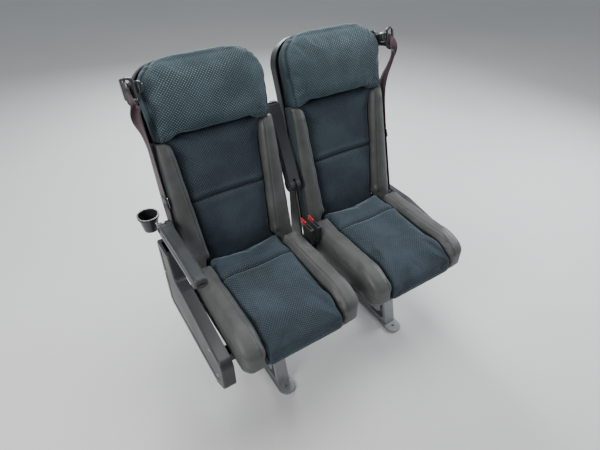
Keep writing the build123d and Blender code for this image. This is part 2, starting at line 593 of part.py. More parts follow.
def arm_core():
    """Forked hub and tapering core, drawn level with the pivot at the origin."""
    tip = -ARM_LENGTH + ARM_NOSE + GAP
    profile = shape_of([(20, 0), (8, ARM_CORE_TOP), (tip, ARM_CORE_TOP), (tip, ARM_CORE_TOP - CORE_TIP),
                        (tip + 34, ARM_CORE_TOP - CORE_TIP - 5), (-60, -ARM_CORE_DEEP), (0, -ARM_HUB_R + 2)],
                       (0, 0, 0, 4, 30, 60, 0))
    half = ARM_WIDTH / 2 - CORE_SIDE
    body = along_x(profile + Circle(ARM_HUB_R), -half, half)
    fork = Circle(ARM_HUB_R + 6) + Pos(14, -20) * Rectangle(60, 50)
    body = body - along_x(fork, -POST_THICK / 2 - FORK_ROOM, POST_THICK / 2 + FORK_ROOM)
    return body - along_x(Circle(PIN_R + PIN_GAP), -ARM_WIDTH, ARM_WIDTH)


def arm_pad():
    """Soft pad over the core: rounded along its top edges and wrapped over the front end."""
    nose, low = -ARM_LENGTH + ARM_NOSE, ARM_CORE_TOP + GAP
    profile = shape_of([(ARM_PAD_REAR, low), (ARM_PAD_REAR, ARM_PAD_TOP), (-ARM_LENGTH, ARM_PAD_TOP),
                        (-ARM_LENGTH, -10), (nose, -10), (nose, low)], (3, 9, 18, 3, 0, 0))
    half = ARM_WIDTH / 2
    section = shape_of([(-half, -30), (half, -30), (half, ARM_PAD_TOP), (-half, ARM_PAD_TOP)], (0, 0, 10, 10))
    pad = along_x(profile, -half, half) & along_y(section, -ARM_LENGTH - 5, 20)
    return pad - along_x(Circle(ARM_HUB_R + GAP), -ARM_WIDTH, ARM_WIDTH)


def recline_button():
    """Oval push button in the front end of an armrest."""
    oval = fillet(Rectangle(BUTTON_LONG, BUTTON_HIGH).vertices(), BUTTON_HIGH / 2 - 0.1)
    return along_y(oval, -ARM_LENGTH - BUTTON_OUT, -ARM_LENGTH - GAP)


def on_arm(shape, x_centre, raised):
    pivot = Axis((x_centre, ARM_PIVOT_Y, ARM_PIVOT_Z), (1, 0, 0))
    return (Pos(x_centre, ARM_PIVOT_Y, ARM_PIVOT_Z) * shape).rotate(pivot, -raised)


def side_cover(x_inner, side, tall, beam_end):
    """Moulded cover along the side of the seat, open to the inside; side is the outboard direction."""
    rear_top = COVER_POST_TOP if tall else COVER_LEDGE
    outline = [(COVER_FRONT, COVER_LOW + COVER_CHIN), (COVER_FRONT + COVER_CHIN_DEEP, COVER_LOW),
               (COVER_REAR, COVER_LOW), (COVER_REAR, rear_top), (COVER_REAR - COVER_HUMP, rear_top),
               (COVER_REAR - COVER_HUMP - COVER_HUMP_SLOPE, COVER_LEDGE), (COVER_STEP, COVER_LEDGE),
               (COVER_FRONT, COVER_LEDGE - COVER_SLOPE)]
    radii = (40, 30, 24, 24, 20, 16, 24, 30)
    if not tall:
        outline = outline[:4] + outline[6:]
        radii = radii[:4] + radii[6:]
    outer = shape_of(outline, radii)
    depth = COVER_DEPTH if tall else COVER_SHALLOW
    body = along_x(outer, 0, depth)
    rim = [e for e in body.edges() if abs(e.center().X - depth) < 0.5]
    body = fillet(rim, COVER_RIM_R)
    field = offset(outer, -COVER_BORDER, kind=Kind.INTERSECTION)
    body = body - along_x(field, depth - COVER_FIELD, depth + 1)
    body = body - along_x(offset(outer, -COVER_WALL, kind=Kind.INTERSECTION), -1, depth - COVER_WALL)
    if tall:
        post_front, post_rear = ARM_PIVOT_Y - POST_HALF - 14, ARM_PIVOT_Y + POST_HALF + 6
        body = body - block(-2, depth - COVER_WALL - 4, post_front, post_rear, COVER_POST_TOP - 30,
                            COVER_POST_TOP + 30)
    peg_end = side * (beam_end - x_inner) + GAP
    for peg_y in (BEAM_FRONT_Y, BEAM_REAR_Y):
        peg = Pos(peg_y, BEAM_TOP - BEAM / 2) * Circle(BEAM / 2 - COVER_PEG_PLAY)
        body = body + along_x(peg, peg_end, depth - COVER_WALL)
    if side < 0:
        body = body.mirror(Plane.YZ)
    return Pos(x_inner, 0, 0) * body


def cup_holder():
    """Tapered cup under a broad ring, on a flat bracket bolted to the aisle arm post."""
    x_cup = ARM_X - CUP_OFFSET
    ring_low = CUP_DEPTH - CUP_RING
    bore_low_r = CUP_FOOT_R - 1.5
    profile = make_face(Polyline((0, 0), (CUP_FOOT_R, 0), (CUP_BORE_R + CUP_WALL - 2, ring_low),
                                 (CUP_RING_R, ring_low), (CUP_RING_R, CUP_DEPTH), (CUP_BORE_R, CUP_DEPTH),
                                 (bore_low_r, CUP_WALL), (0, CUP_WALL), close=True))
    cup = revolve(Plane.XZ * profile, Axis.Z) - Cylinder(CUP_DRAIN_R, 4 * CUP_WALL)
    floor_z = CUP_TOP - CUP_DEPTH
    x_plate = ARM_X - POST_THICK / 2 - GAP
    strap_z = CUP_TOP - CUP_STRAP_DOWN
    strap = block(x_plate - CUP_STRAP, x_plate, ARM_PIVOT_Y - 16, CUP_Y - CUP_BORE_R + 2,
                  strap_z - CUP_STRAP_HALF, strap_z + CUP_STRAP_HALF)
    bore = Cone(bore_low_r, CUP_BORE_R, CUP_DEPTH - CUP_WALL, align=(Align.CENTER, Align.CENTER, Align.MIN))
    return (Pos(x_cup, CUP_Y, floor_z) * cup + strap) - Pos(x_cup, CUP_Y, floor_z + CUP_WALL) * bore


def buckle(x_centre):
    """Buckle on a flat stalk from the front face of the rear beam, beside the centre armrest."""
    face_y = BEAM_REAR_Y - BEAM / 2 - GAP
    low, high = BEAM_TOP - BEAM + STALK_MARGIN, BEAM_TOP - STALK_MARGIN
    front, rear = BUCKLE_Y - STALK_HALF, BUCKLE_Y + STALK_HALF
    head_low = BUCKLE_TOP - BUCKLE_TALL
    line = shape_of([(face_y - STALK_FOOT, low), (face_y, low), (face_y, high),
                     (rear, head_low - STALK_HALF * 2), (rear, head_low + STALK_HALF),
                     (front, head_low + STALK_HALF), (front, head_low - STALK_HALF * 3)],
                    (0, 0, 20, 30, 0, 0, 30))
    stalk = along_x(line, x_centre - STALK_THICK / 2, x_centre + STALK_THICK / 2)
    left, right = x_centre - BUCKLE_HALF_WIDE, x_centre + BUCKLE_HALF_WIDE
    stalk += block(left, right, face_y - STALK_FOOT, face_y, low, high)
    head = block(left, right, BUCKLE_Y - BUCKLE_HALF_LONG, BUCKLE_Y + BUCKLE_HALF_LONG, head_low, BUCKLE_TOP)
    head = fillet(head.edges().filter_by(Axis.X), BUCKLE_R)
    slot = block(x_centre - BUCKLE_SLOT_WIDE, x_centre + BUCKLE_SLOT_WIDE, BUCKLE_Y - BUCKLE_SLOT_LONG,
                 BUCKLE_Y + BUCKLE_SLOT_LONG, BUCKLE_TOP - BUCKLE_SLOT_DEEP, BUCKLE_TOP + 1)
    return stalk + (head - slot)


os.makedirs("parts", exist_ok=True)

frame_end_aisle = ARM_X - POST_FOOT - 1
frame_end_window = WINDOW_X + EAR_HALF + EAR_THICK + EAR_GAP + BRACKET_FOOT + 2
save(beam(BEAM_FRONT_Y, frame_end_aisle, frame_end_window), "beam_front")
save(beam(BEAM_REAR_Y, frame_end_aisle, frame_end_window), "beam_rear")

for name, x_centre, side in PLACES:
    save(Pos(side * LEG_X, 0, 0) * leg(), f"leg_{name}")
    for where, outward in (("outer", side), ("inner", -side)):
        bracket_x = x_centre + outward * (EAR_HALF + EAR_THICK + EAR_GAP)
        bracket = recline_bracket()
        if outward < 0:
            bracket = bracket.mirror(Plane.YZ)
        save(Pos(bracket_x, 0, 0) * bracket, f"recline_bracket_{name}_{where}")
    save(Pos(x_centre, 0, 0) * seat_pan(), f"seat_pan_{name}")
    save(Pos(x_centre, 0, 0) * cushion_insert(), f"cushion_{name}")
    save(Pos(x_centre, 0, 0) * cushion_bolsters(), f"cushion_bolsters_{name}")
    save(buckle(side * BUCKLE_X), f"buckle_{name}")
    save(on_back(back_frame(), x_centre), f"back_frame_{name}")
    save(on_back(back_shell(), x_centre), f"back_shell_{name}")
    save(on_back(head_pad(), x_centre), f"head_pad_{name}")
    save(on_back(back_panel(), x_centre), f"back_panel_{name}")
    save(on_back(back_bolsters(), x_centre), f"back_bolsters_{name}")
    save(on_back(magazine_pocket(), x_centre), f"magazine_pocket_{name}")
    for part, label in ((belt_guide(), "belt_guide"), (belt_webbing(), "belt_webbing"),
                        (belt_anchor(), "belt_anchor"), (belt_tongue(), "belt_tongue")):
        sided = part.mirror(Plane.YZ) if side < 0 else part
        save(on_back(sided, x_centre), f"{label}_{name}")

for name, x_centre, raised in ARMS:
    save(arm_post(x_centre), f"arm_post_{name}")
    save(on_arm(arm_core(), x_centre, raised), f"arm_core_{name}")
    save(on_arm(arm_pad(), x_centre, raised), f"arm_pad_{name}")
    save(on_arm(recline_button(), x_centre, raised), f"recline_button_{name}")

save(side_cover(ARM_X + COVER_INSET, -1, True, frame_end_aisle), "side_cover_aisle")
save(side_cover(frame_end_window, 1, False, frame_end_window), "side_cover_window")
save(cup_holder(), "cup_holder")
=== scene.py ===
import json
import math

import bmesh
import bpy
from mathutils import Matrix, Vector, noise


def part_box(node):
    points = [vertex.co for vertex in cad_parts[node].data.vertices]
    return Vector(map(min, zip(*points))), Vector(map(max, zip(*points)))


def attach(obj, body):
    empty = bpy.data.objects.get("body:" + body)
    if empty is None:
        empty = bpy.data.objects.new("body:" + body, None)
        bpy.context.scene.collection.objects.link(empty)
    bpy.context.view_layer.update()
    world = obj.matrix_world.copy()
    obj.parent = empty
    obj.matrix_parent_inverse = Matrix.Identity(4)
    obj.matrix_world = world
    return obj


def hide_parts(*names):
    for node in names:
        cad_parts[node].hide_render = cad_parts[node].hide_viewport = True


bl_info = {
    "name": "Coach double seat",
    "version": (1, 0, 0),
    "blender": (4, 5, 0),
    "location": "3D View > Sidebar > Coach seat",
    "description": "Dresses the frame of a two-place coach seat with foam, covers, belts and trim",
    "category": "Object",
}

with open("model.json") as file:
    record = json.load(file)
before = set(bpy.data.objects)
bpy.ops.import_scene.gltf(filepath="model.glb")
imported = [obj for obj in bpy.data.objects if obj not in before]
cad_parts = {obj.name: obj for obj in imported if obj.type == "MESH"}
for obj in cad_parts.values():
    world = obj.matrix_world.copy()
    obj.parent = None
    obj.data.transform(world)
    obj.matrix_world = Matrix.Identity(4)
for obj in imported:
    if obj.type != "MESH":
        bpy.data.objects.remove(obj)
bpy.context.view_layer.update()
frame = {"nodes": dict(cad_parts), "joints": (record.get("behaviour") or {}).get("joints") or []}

# Metres throughout. A place's own coordinates are x across it, depth along its back's
# thickness (rearward is positive) and height along the back from the recline pivot.
JOINTS = {joint["name"]: joint for joint in frame["joints"]}
PIVOT = Vector(JOINTS["recline_aisle"]["pos_m"])
PLACES = {name: JOINTS[f"recline_{name}"]["pos_m"][0] for name in ("aisle", "window")}
OUTBOARD = {"aisle": -1, "window": 1}
SIDES = ((1, "right"), (-1, "left"))
ARM_PIVOTS = {name: Vector(JOINTS[f"fold_arm_{name}"]["pos_m"]) for name in ("aisle", "centre")}
ARM_RAISED = {"aisle": 0.0, "centre": -math.radians(JOINTS["fold_arm_centre"]["range_deg"][0])}
LEAN = math.radians(15.7)

# Where head pads, panels, bolsters and seat cushions meet
GAP = 0.0003              # between a panel's solid and the bolsters' beside it
PANEL_LOW_HALF = 0.122    # half width of the panel above the seat cushion
PANEL_TOP_HALF = 0.150    # and below the head pad
FOOT_HALF = 0.142         # inner edge of the bolsters behind the seat cushion
FOOT_STEP = 0.092         # the panel is as wide as that below this height
FOOT_HEIGHT = 0.032       # the covers' lower ends
SHOULDER_OUT = 0.006      # the bolster's outer top corner below the head pad's lip
SHOULDER_IN = 0.015       # and its inner top corner
SHOULDER_R = 0.027        # rounding of that inner corner
SHOULDER_LAP = 0.006      # the head pad's cover laps over the bolster by this
LIP_HALF = 0.127          # the lip is free over this half width

# Covers, seams and threads
SEAM_HELD = 0.005         # a cross seam holds the cover down this far on both sides
GATHERS = (0.016, 30)     # reach of the small gathers beside a cross seam, and their fineness away from it
TUCK_IN = 0.006           # a pad's rear ring is this much smaller than its front view
TUCK_DEEP = 0.004         # and lies this far behind the pad's rear face
THREAD_LIFT = 0.0002      # threads lie this far over the cover
TOPSTITCH_OUT = 0.003     # and this far beside a topstitched seam's dip
STITCH_SPACING = 0.0052
RAY_START = 0.2           # distance from which a piece is felt for its surface
CRISP = math.radians(40)  # edges of mouldings that bend more stay crisp

# Finishes of the frame's own nodes, by the beginnings of their names
CAD_FINISHES = {
    "cast_leg": ("leg_",),
    "frame_steel": ("beam_", "arm_post_", "back_frame_", "recline_bracket_"),
    "pan_steel": ("seat_pan_",),
    "bright_steel": ("belt_anchor_",),
    "shell_plastic": ("back_shell_",),
    "cover_plastic": ("side_cover_",),
    "pocket_plastic": ("magazine_pocket_",),
    "cup_plastic": ("cup_holder",),
    "arm_plastic": ("arm_core_",),
    "button_plastic": ("recline_button_",),
    "buckle_plastic": ("buckle_", "belt_tongue_"),
}


def back_place(centre):
    """The matrix that carries (x, depth, height) of a back to the seat's frame."""
    return Matrix.Translation((centre, PIVOT.y, PIVOT.z)) @ Matrix.Rotation(-LEAN, 4, "X")


def arm_place(name):
    """The matrix that carries a level armrest, its pivot at the origin, to its place at rest."""
    return Matrix.Translation(ARM_PIVOTS[name]) @ Matrix.Rotation(-ARM_RAISED[name], 4, "X")


def node_box(node, place):
    """Lowest and highest corner of a CAD node in a back's or an armrest's own coordinates."""
    inverse = place.inverted()
    points = [inverse @ vertex.co for vertex in frame["nodes"][node].data.vertices]
    low = Vector([min(p[i] for p in points) for i in range(3)])
    high = Vector([max(p[i] for p in points) for i in range(3)])
    return low, high


BACK = {name: back_place(x) for name, x in PLACES.items()}


def fade(value, span, start=0.0):
    """0 before a span's first end, 1 past its second and an S curve between; start is the span's zero."""
    low, high = start + span[0], start + span[1]
    t = min(1.0, max(0.0, (value - low) / (high - low)))
    return t * t * (3 - 2 * t)


def bell(value, width):
    """1 at 0, falling to nothing over a few widths."""
    return math.exp(-(value / width) ** 2)


def swell(value, amount, place, width):
    """A bell of some amount at a place."""
    return amount * bell(value - place, width)


def evenly(start, end, count):
    """Values at equal steps, both ends among them."""
    return [start + (end - start) * k / (count - 1) for k in range(count)]


def gathers(across, away, amount, fine):
    """Small gathers of a cover, across the seam that they run out from."""
    reach, steps = GATHERS
    return amount * bell(away, reach) * noise.noise(Vector((across * fine, away * steps, 0)))


# Mesh helpers

def new_object(name, data):
    obj = bpy.data.objects.new(name, data)
    bpy.context.scene.collection.objects.link(obj)
    return obj


def mesh_from(name, points, faces, edges=()):
    mesh = bpy.data.meshes.new(name)
    mesh.from_pydata([tuple(p) for p in points], edges, faces)
    mesh.update()
    return mesh


def outward(mesh):
    """Joins doubles and turns every face outwards."""
    work = bmesh.new()
    work.from_mesh(mesh)
    bmesh.ops.remove_doubles(work, verts=work.verts, dist=1e-6)
    bmesh.ops.recalc_face_normals(work, faces=work.faces)
    work.to_mesh(mesh)
    work.free()
    return mesh


def stack(name, rings):
    """An object with a closed skin through rings of equal count, both ends closed."""
    count = len(rings[0])
    points = [p for ring in rings for p in ring]
    faces = []
    for level in range(len(rings) - 1):
        for i in range(count):
            a, b = level * count + i, level * count + (i + 1) % count
            faces.append((a, b, b + count, a + count))
    for first, flip in ((0, True), ((len(rings) - 1) * count, False)):
        middle = len(points)
        points.append(sum((Vector(p) for p in points[first:first + count]), Vector()) / count)
        for i in range(count):
            a, b = first + i, first + (i + 1) % count
            faces.append((b, a, middle) if flip else (a, b, middle))
    return new_object(name, outward(mesh_from(name, points, faces)))


def rounded(corners, radii, arc_steps=8, edge_step=0.02):
    """A closed outline of straight runs and corner arcs, as a list of 2D vectors."""
    outline = []
    count = len(corners)
    for i, radius in enumerate(radii):
        before, here, after = (Vector(corners[j % count]) for j in (i - 1, i, i + 1))
        to_before, to_after = (before - here).normalized(), (after - here).normalized()
        half = to_before.angle(to_after) / 2
        reach = radius / math.tan(half)
        centre = here + (to_before + to_after).normalized() * (radius / math.sin(half))
        start, end = here + to_before * reach - centre, here + to_after * reach - centre
        for k in range(arc_steps + 1):
            outline.append(centre + start.lerp(end, k / arc_steps).normalized() * radius)
    dense = []
    for i, point in enumerate(outline):
        following = outline[(i + 1) % len(outline)]
        runs = max(1, int((following - point).length / edge_step))
        dense += [point.lerp(following, k / runs) for k in range(runs)]
    return dense


def rectangle(low, high, radii, arc_steps=8, edge_step=0.02):
    """A rounded rectangle; its radii begin at the low corner and go round by the right."""
    corners = [low, (high[0], low[1]), high, (low[0], high[1])]
    return rounded(corners, radii, arc_steps, edge_step)


def ring(outline, axis, place):
    """A flat outline set square to an axis (0, 1 or 2), at a place on it."""
    points = []
    for flat in outline:
        spot = list(flat)
        spot.insert(axis, place)
        points.append(Vector(spot))
    return points


def inset(outline, amount):
    """The outline moved inwards, point by point."""
    moved = []
    count = len(outline)
    area = sum(outline[i].cross(outline[(i + 1) % count]) for i in range(count))
    turn = 1 if area > 0 else -1
    for i, point in enumerate(outline):
        along = outline[(i + 1) % count] - outline[i - 1]
        normal = Vector((-along.y, along.x)).normalized() * turn
        moved.append(point + normal * amount)
    return moved


def rounded_edge(radius, steps=6):
    """How far a quarter round lies in from the flank and back from the face, step by step."""
    turns = [math.radians(90) * k / steps for k in range(steps + 1)]
    return [(radius * (1 - math.cos(turn)), radius * (1 - math.sin(turn))) for turn in turns]


def pad_on_back(name, outline, rear, front, edge, share):
    """A pad's block: its rear tucked into the shell, its front edge rounded by each point's share."""
    levels = [(TUCK_IN, rear + TUCK_DEEP), (TUCK_IN / 2, rear), (0.0, rear - TUCK_DEEP)]
    levels += [(pull, front + drop) for pull, drop in rounded_edge(edge)]
    inner = inset(outline, 1.0)
    rings = []
    for pull, depth in levels:
        level = []
        for p, q in zip(outline, inner):
            step = pull * share(p)
            level.append(Vector((p.x + (q.x - p.x) * step, depth, p.y + (q.y - p.y) * step)))
        rings.append(level)
    return stack(name, rings)


def settle(obj):
    """Turns the object's modifiers into plain mesh."""
    made = bpy.data.meshes.new_from_object(obj.evaluated_get(bpy.context.evaluated_depsgraph_get()))
    made.name = obj.data.name
    obj.modifiers.clear()
    obj.data = made


def remesh(obj, rounds=6):
    """Even quads all over, with the steps of the voxels smoothed away."""
    maker = obj.modifiers.new("even", "REMESH")
    maker.mode = "VOXEL"
    maker.voxel_size = sizes().voxel
    settle(obj)
    work = bmesh.new()
    work.from_mesh(obj.data)
    for _ in range(rounds):
        bmesh.ops.smooth_vert(work, verts=work.verts, factor=0.5, use_axis_x=True, use_axis_y=True,
                              use_axis_z=True)
    work.to_mesh(obj.data)
    work.free()


def puff(obj, held, cap, frames=20, pressure=4.0):
    """Blows the cover up like cloth over foam. Held points stay, and no point moves further than cap."""
    group = obj.vertex_groups.new(name="held")
    group.add([v.index for v in obj.data.vertices if held(v.co)], 1.0, "REPLACE")
    cover = obj.modifiers.new("cover", "CLOTH")
    cover.settings.use_pressure = True
    cover.settings.uniform_pressure_force = pressure
    cover.settings.vertex_group_mass = group.name
    cover.settings.effector_weights.gravity = 0
    cover.collision_settings.use_collision = False
    cover.point_cache.frame_start = 1
    cover.point_cache.frame_end = frames
    for step in range(1, frames + 1):
        bpy.context.scene.frame_set(step)
    blown = obj.evaluated_get(bpy.context.evaluated_depsgraph_get()).to_mesh()
    moves = [blown.vertices[v.index].co - v.co for v in obj.data.vertices]
    for vertex, move in zip(obj.data.vertices, moves):
        if move.length > 1e-7:
            vertex.co += move.normalized() * cap * math.tanh(move.length / cap)
    obj.modifiers.remove(cover)
    obj.vertex_groups.clear()
    bpy.context.scene.frame_set(1)


def subdivide(obj, levels=1):
    finer = obj.modifiers.new("finer", "SUBSURF")
    finer.levels = finer.render_levels = levels
    settle(obj)


def shape_points(obj, move):
    """Moves each point by what move(point, normal) returns."""
    normals = [v.normal.copy() for v in obj.data.vertices]
    for vertex, normal in zip(obj.data.vertices, normals):
        vertex.co += move(vertex.co, normal)
    obj.data.update()


def paint(obj, attribute, value):
    """Stores value(point, normal) on the points for the materials to read."""
    layer = obj.data.attributes.new(attribute, "FLOAT", "POINT")
    layer.data.foreach_set("value", [value(v.co, v.normal) for v in obj.data.vertices])


def lay_cloth(mesh, spots):
    """A UV map in metres, from one (u, v) for each point."""
    layer = mesh.uv_layers.new(name="cloth")
    for loop in mesh.loops:
        layer.data[loop.index].uv = spots[loop.vertex_index]


def smooth_shaded(obj, crisp=None):
    """Smooth shading, with edges above the crisp angle left sharp where one is given."""
    obj.data.shade_smooth()
    if crisp:
        obj.data.set_sharp_from_angle(angle=crisp)
    return obj


def twin(obj, name, matrix):
    """A copy moved by a matrix, faces still outwards."""
    copy = new_object(name, obj.data.copy())
    copy.data.name = name
    copy.data.transform(matrix)
    if matrix.determinant() < 0:
        copy.data.flip_normals()
    return copy


def join(name, objects):
    """One object from several, in the order given."""
    with bpy.context.temp_override(active_object=objects[0], selected_editable_objects=objects,
                                   selected_objects=objects):
        bpy.ops.object.join()
    objects[0].name = objects[0].data.name = name
    return objects[0]


def touch(obj, origin, direction):
    """Where a ray meets a piece, and the surface's normal there."""
    hit, point, normal, _ = obj.ray_cast(Vector(origin), Vector(direction).normalized())
    if not hit:
        raise RuntimeError(f"{obj.name} has no surface at {tuple(origin)}")
    return point, normal


def thread_line(obj, origins, direction):
    """A line just over the surface that rays from the origins meet."""
    met = [touch(obj, origin, direction) for origin in origins]
    return [point + normal * THREAD_LIFT for point, normal in met]


def finish_piece(obj, body, finish, *replaced, slot=None):
    """Gives a piece its material and its body, and hides the nodes that it stands for; slot is not used."""
    obj.data.materials.clear()
    obj.data.materials.append(material(finish))
    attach(obj, body)
    if replaced:
        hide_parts(*replaced)
    return obj


# Materials

def material(name):
    return bpy.data.materials[name]


def toned(color, share, lift=0.0):
    """A colour made darker or lighter."""
    return tuple(min(1.0, share * c + lift) for c in color)


class Graph:
    """Short calls for a node tree."""

    def __init__(self, tree):
        self.tree = tree

    def feed(self, socket, value):
        """Links a socket or sets a value; a colour may have three parts, and None changes nothing."""
        if isinstance(value, bpy.types.NodeSocket):
            self.tree.links.new(value, socket)
        elif value is not None:
            short = socket.type == "RGBA" and len(value) == 3
            socket.default_value = (*value, 1.0) if short else value

    def add(self, kind, inputs=None, **settings):
        """A node with its settings, and its inputs fed by name or number."""
        node = self.tree.nodes.new(kind)
        for key, value in settings.items():
            setattr(node, key, value)
        for key, value in (inputs or {}).items():
            self.feed(node.inputs[key], value)
        return node

    def out(self, kind, inputs=None, **settings):
        """The first output of such a node."""
        return self.add(kind, inputs, **settings).outputs[0]


class Nodes(Graph):
    """One material's nodes."""

    def __init__(self, name):
        self.material = bpy.data.materials.get(name) or bpy.data.materials.new(name)
        self.material.use_nodes = True
        super().__init__(self.material.node_tree)
        self.tree.nodes.clear()
        self.shader = self.add("ShaderNodeBsdfPrincipled")
        self.add("ShaderNodeOutputMaterial", {"Surface": self.shader.outputs[0]})

    def math(self, operation, a, b=None):
        return self.out("ShaderNodeMath", {0: a, 1: b}, operation=operation)

    def times(self, a, b):
        return self.math("MULTIPLY", a, b)

    def plus(self, a, b):
        return self.math("ADD", a, b)

    def less(self, a, b):
        return self.math("SUBTRACT", a, b)

    def ramp(self, value, low, high, to_low=0.0, to_high=1.0):
        inputs = dict(enumerate((value, low, high, to_low, to_high)))
        return self.out("ShaderNodeMapRange", inputs, interpolation_type="SMOOTHSTEP")

    def mix(self, share, a, b):
        return self.add("ShaderNodeMix", {0: share, 6: a, 7: b}, data_type="RGBA").outputs[2]

    def noise(self, vector, scale, detail=3.0, roughness=0.5):
        inputs = {"Vector": vector, "Scale": scale, "Detail": detail, "Roughness": roughness}
        return self.add("ShaderNodeTexNoise", inputs).outputs["Fac"]

    def place(self):
        return self.add("ShaderNodeTexCoord").outputs["Object"]

    def cloth(self):
        """The u and v of the piece's own cloth map, in metres."""
        split = self.add("ShaderNodeSeparateXYZ", {0: self.out("ShaderNodeUVMap", uv_map="cloth")})
        return split.outputs[0], split.outputs[1]

    def attribute(self, name):
        return self.add("ShaderNodeAttribute", attribute_name=name).outputs["Fac"]

    def bump(self, height, strength, distance, under=None):
        inputs = {"Strength": strength, "Distance": distance, "Height": height, "Normal": under}
        return self.out("ShaderNodeBump", inputs)

    def done(self, color, roughness, normal=None, **constants):
        for key, value in (("Base Color", color), ("Roughness", roughness), ("Normal", normal)):
            self.feed(self.shader.inputs[key], value)
        for key, value in constants.items():
            self.shader.inputs[key.replace("_", " ")].default_value = value
        return self.material


DOT_PITCH = 0.0094        # between dots of a row
DOT_ROW = 0.0047          # between rows, every second one shifted by half a pitch
DOT_HALF = (0.0019, 0.0012)
DOT_EDGE = (1.25, 0.55)   # a dot fades in between these shares of its half sizes
SHADED_PLUSH = 0.62         # tone of the plush in the darker patches of the painted nap sheen, and under the painted seam shade
FIBRES = (900.0, 4.0, 0.7)    # scale, detail and roughness of the noise for plush and cloth
CLOUDS = (0.3, 0.7)       # values between which a broad noise changes its tone
PEBBLES = 620.0           # scale of the leatherette's grain
TWILL = 0.0022            # pitch of the webbing's slanted ridges
CORD = 0.0031             # and of its lengthwise cords
SELVEDGE = (0.0195, 0.0215)   # the webbing's border begins between these half widths


def dotted_plush(name, base, dot, dot_strength):
    """Plush with staggered woven dots on the cloth map, plain where the gusset mask says; painted nap sheen
    and seam shade.
    """
    n = Nodes(name)
    shaded_ground = toned(base, SHADED_PLUSH)
    u, v = n.cloth()
    rows = n.math("DIVIDE", v, DOT_ROW)
    row = n.math("FLOOR", rows)
    shift = n.times(n.math("FLOORED_MODULO", row, 2.0), 0.5)
    columns = n.plus(n.math("DIVIDE", u, DOT_PITCH), shift)
    cell = n.out("ShaderNodeCombineXYZ", {0: n.math("FLOOR", columns), 1: row})
    chance = n.out("ShaderNodeTexWhiteNoise", {"Vector": cell}, noise_dimensions="2D")
    across = n.times(n.less(n.math("FRACT", columns), 0.5), DOT_PITCH / DOT_HALF[0])
    along = n.times(n.less(n.math("FRACT", rows), 0.5), DOT_ROW / DOT_HALF[1])
    away = n.math("SQRT", n.plus(n.math("POWER", across, 2.0), n.math("POWER", along, 2.0)))
    spot = n.ramp(away, *DOT_EDGE)
    bright = n.ramp(chance, 0.0, 1.0, 0.65, 1.0)
    share = n.times(n.times(spot, bright), n.less(1.0, n.attribute("gusset")))
    place = n.place()
    # Painted nap sheen: broad darker and lighter patches of the plush.
    nap_sheen = n.ramp(n.noise(place, 9.0, 2.0), 0.36, 0.66)
    # Painted sheen: the dots show less in broad patches.
    dot_sheen_fade = n.ramp(n.noise(place, 6.0, 1.0), 0.35, 0.65, 0.55, 1.0)
    pile = n.noise(place, *FIBRES)
    ground = n.mix(nap_sheen, shaded_ground, base)
    ground = n.mix(n.times(pile, 0.35), ground, toned(base, 1.6))
    # Painted shade along the seams, where the seam mask says.
    ground = n.mix(n.times(n.attribute("seam"), 0.75), ground, toned(shaded_ground, 0.35))
    color = n.mix(n.times(n.times(share, dot_sheen_fade), dot_strength), ground, dot)
    height = n.plus(n.times(spot, 0.5), pile)
    return n.done(color, n.ramp(pile, 0.2, 0.8, 0.82, 0.96), n.bump(height, 0.5, 0.0008), Sheen_Weight=0.42,
                  Sheen_Roughness=0.35, Sheen_Tint=(0.55, 0.68, 0.76, 1), Specular_IOR_Level=0.2)


def leatherette(name, base, dark, cloth=(0.0, 0.0, 0.0)):
    """Grained leatherette, darker in the grain's hollows, with painted shade along the seams and plain cloth
    where the gusset mask says.
    """
    n = Nodes(name)
    place = n.place()
    pebble = n.add("ShaderNodeTexVoronoi", {"Vector": place, "Scale": PEBBLES}, feature="DISTANCE_TO_EDGE")
    grain = n.ramp(pebble.outputs["Distance"], 0.0, 0.22)
    tone = n.noise(place, 14.0, 3.0)
    side = n.attribute("gusset")
    color = n.mix(n.ramp(tone, *CLOUDS), dark, base)
    # Darker in the grain's hollows.
    color = n.mix(n.times(n.less(1.0, grain), 0.35), color, toned(dark, 0.5))
    color = n.mix(side, color, n.mix(n.noise(place, *FIBRES), toned(cloth, 0.6), cloth))
    # Painted shade along the seams.
    color = n.mix(n.times(n.attribute("seam"), 0.8), color, toned(dark, 0.3))
    creases = n.bump(n.noise(place, 60.0, 5.0, 0.6), 0.12, 0.002)
    roughness = n.math("MAXIMUM", n.ramp(tone, *CLOUDS, 0.42, 0.56), n.times(side, 0.9))
    return n.done(color, roughness, n.bump(grain, 0.25, 0.0003, creases), Specular_IOR_Level=0.45,
                  Sheen_Weight=0.08)


def moulding(name, base, rough, grain_scale=1400.0, scuff=0.25, coat=0.0):
    """Grained plastic with faint scuffs and dust."""
    n = Nodes(name)
    place = n.place()
    grain = n.noise(place, grain_scale, 3.0, 0.6)
    cloud = n.noise(place, 7.0, 4.0)
    marks = n.ramp(n.noise(place, 42.0, 6.0, 0.75), 0.58, 0.8)
    color = n.mix(n.ramp(cloud, *CLOUDS), toned(base, 0.82), base)
    color = n.mix(n.times(marks, scuff), color, toned(base, 1.9, 0.02))
    roughness = n.plus(n.ramp(cloud, *CLOUDS, rough - 0.05, rough + 0.05), n.times(marks, 0.08))
    return n.done(color, roughness, n.bump(grain, 0.22, 0.00025), Coat_Weight=coat, Coat_Roughness=0.2)


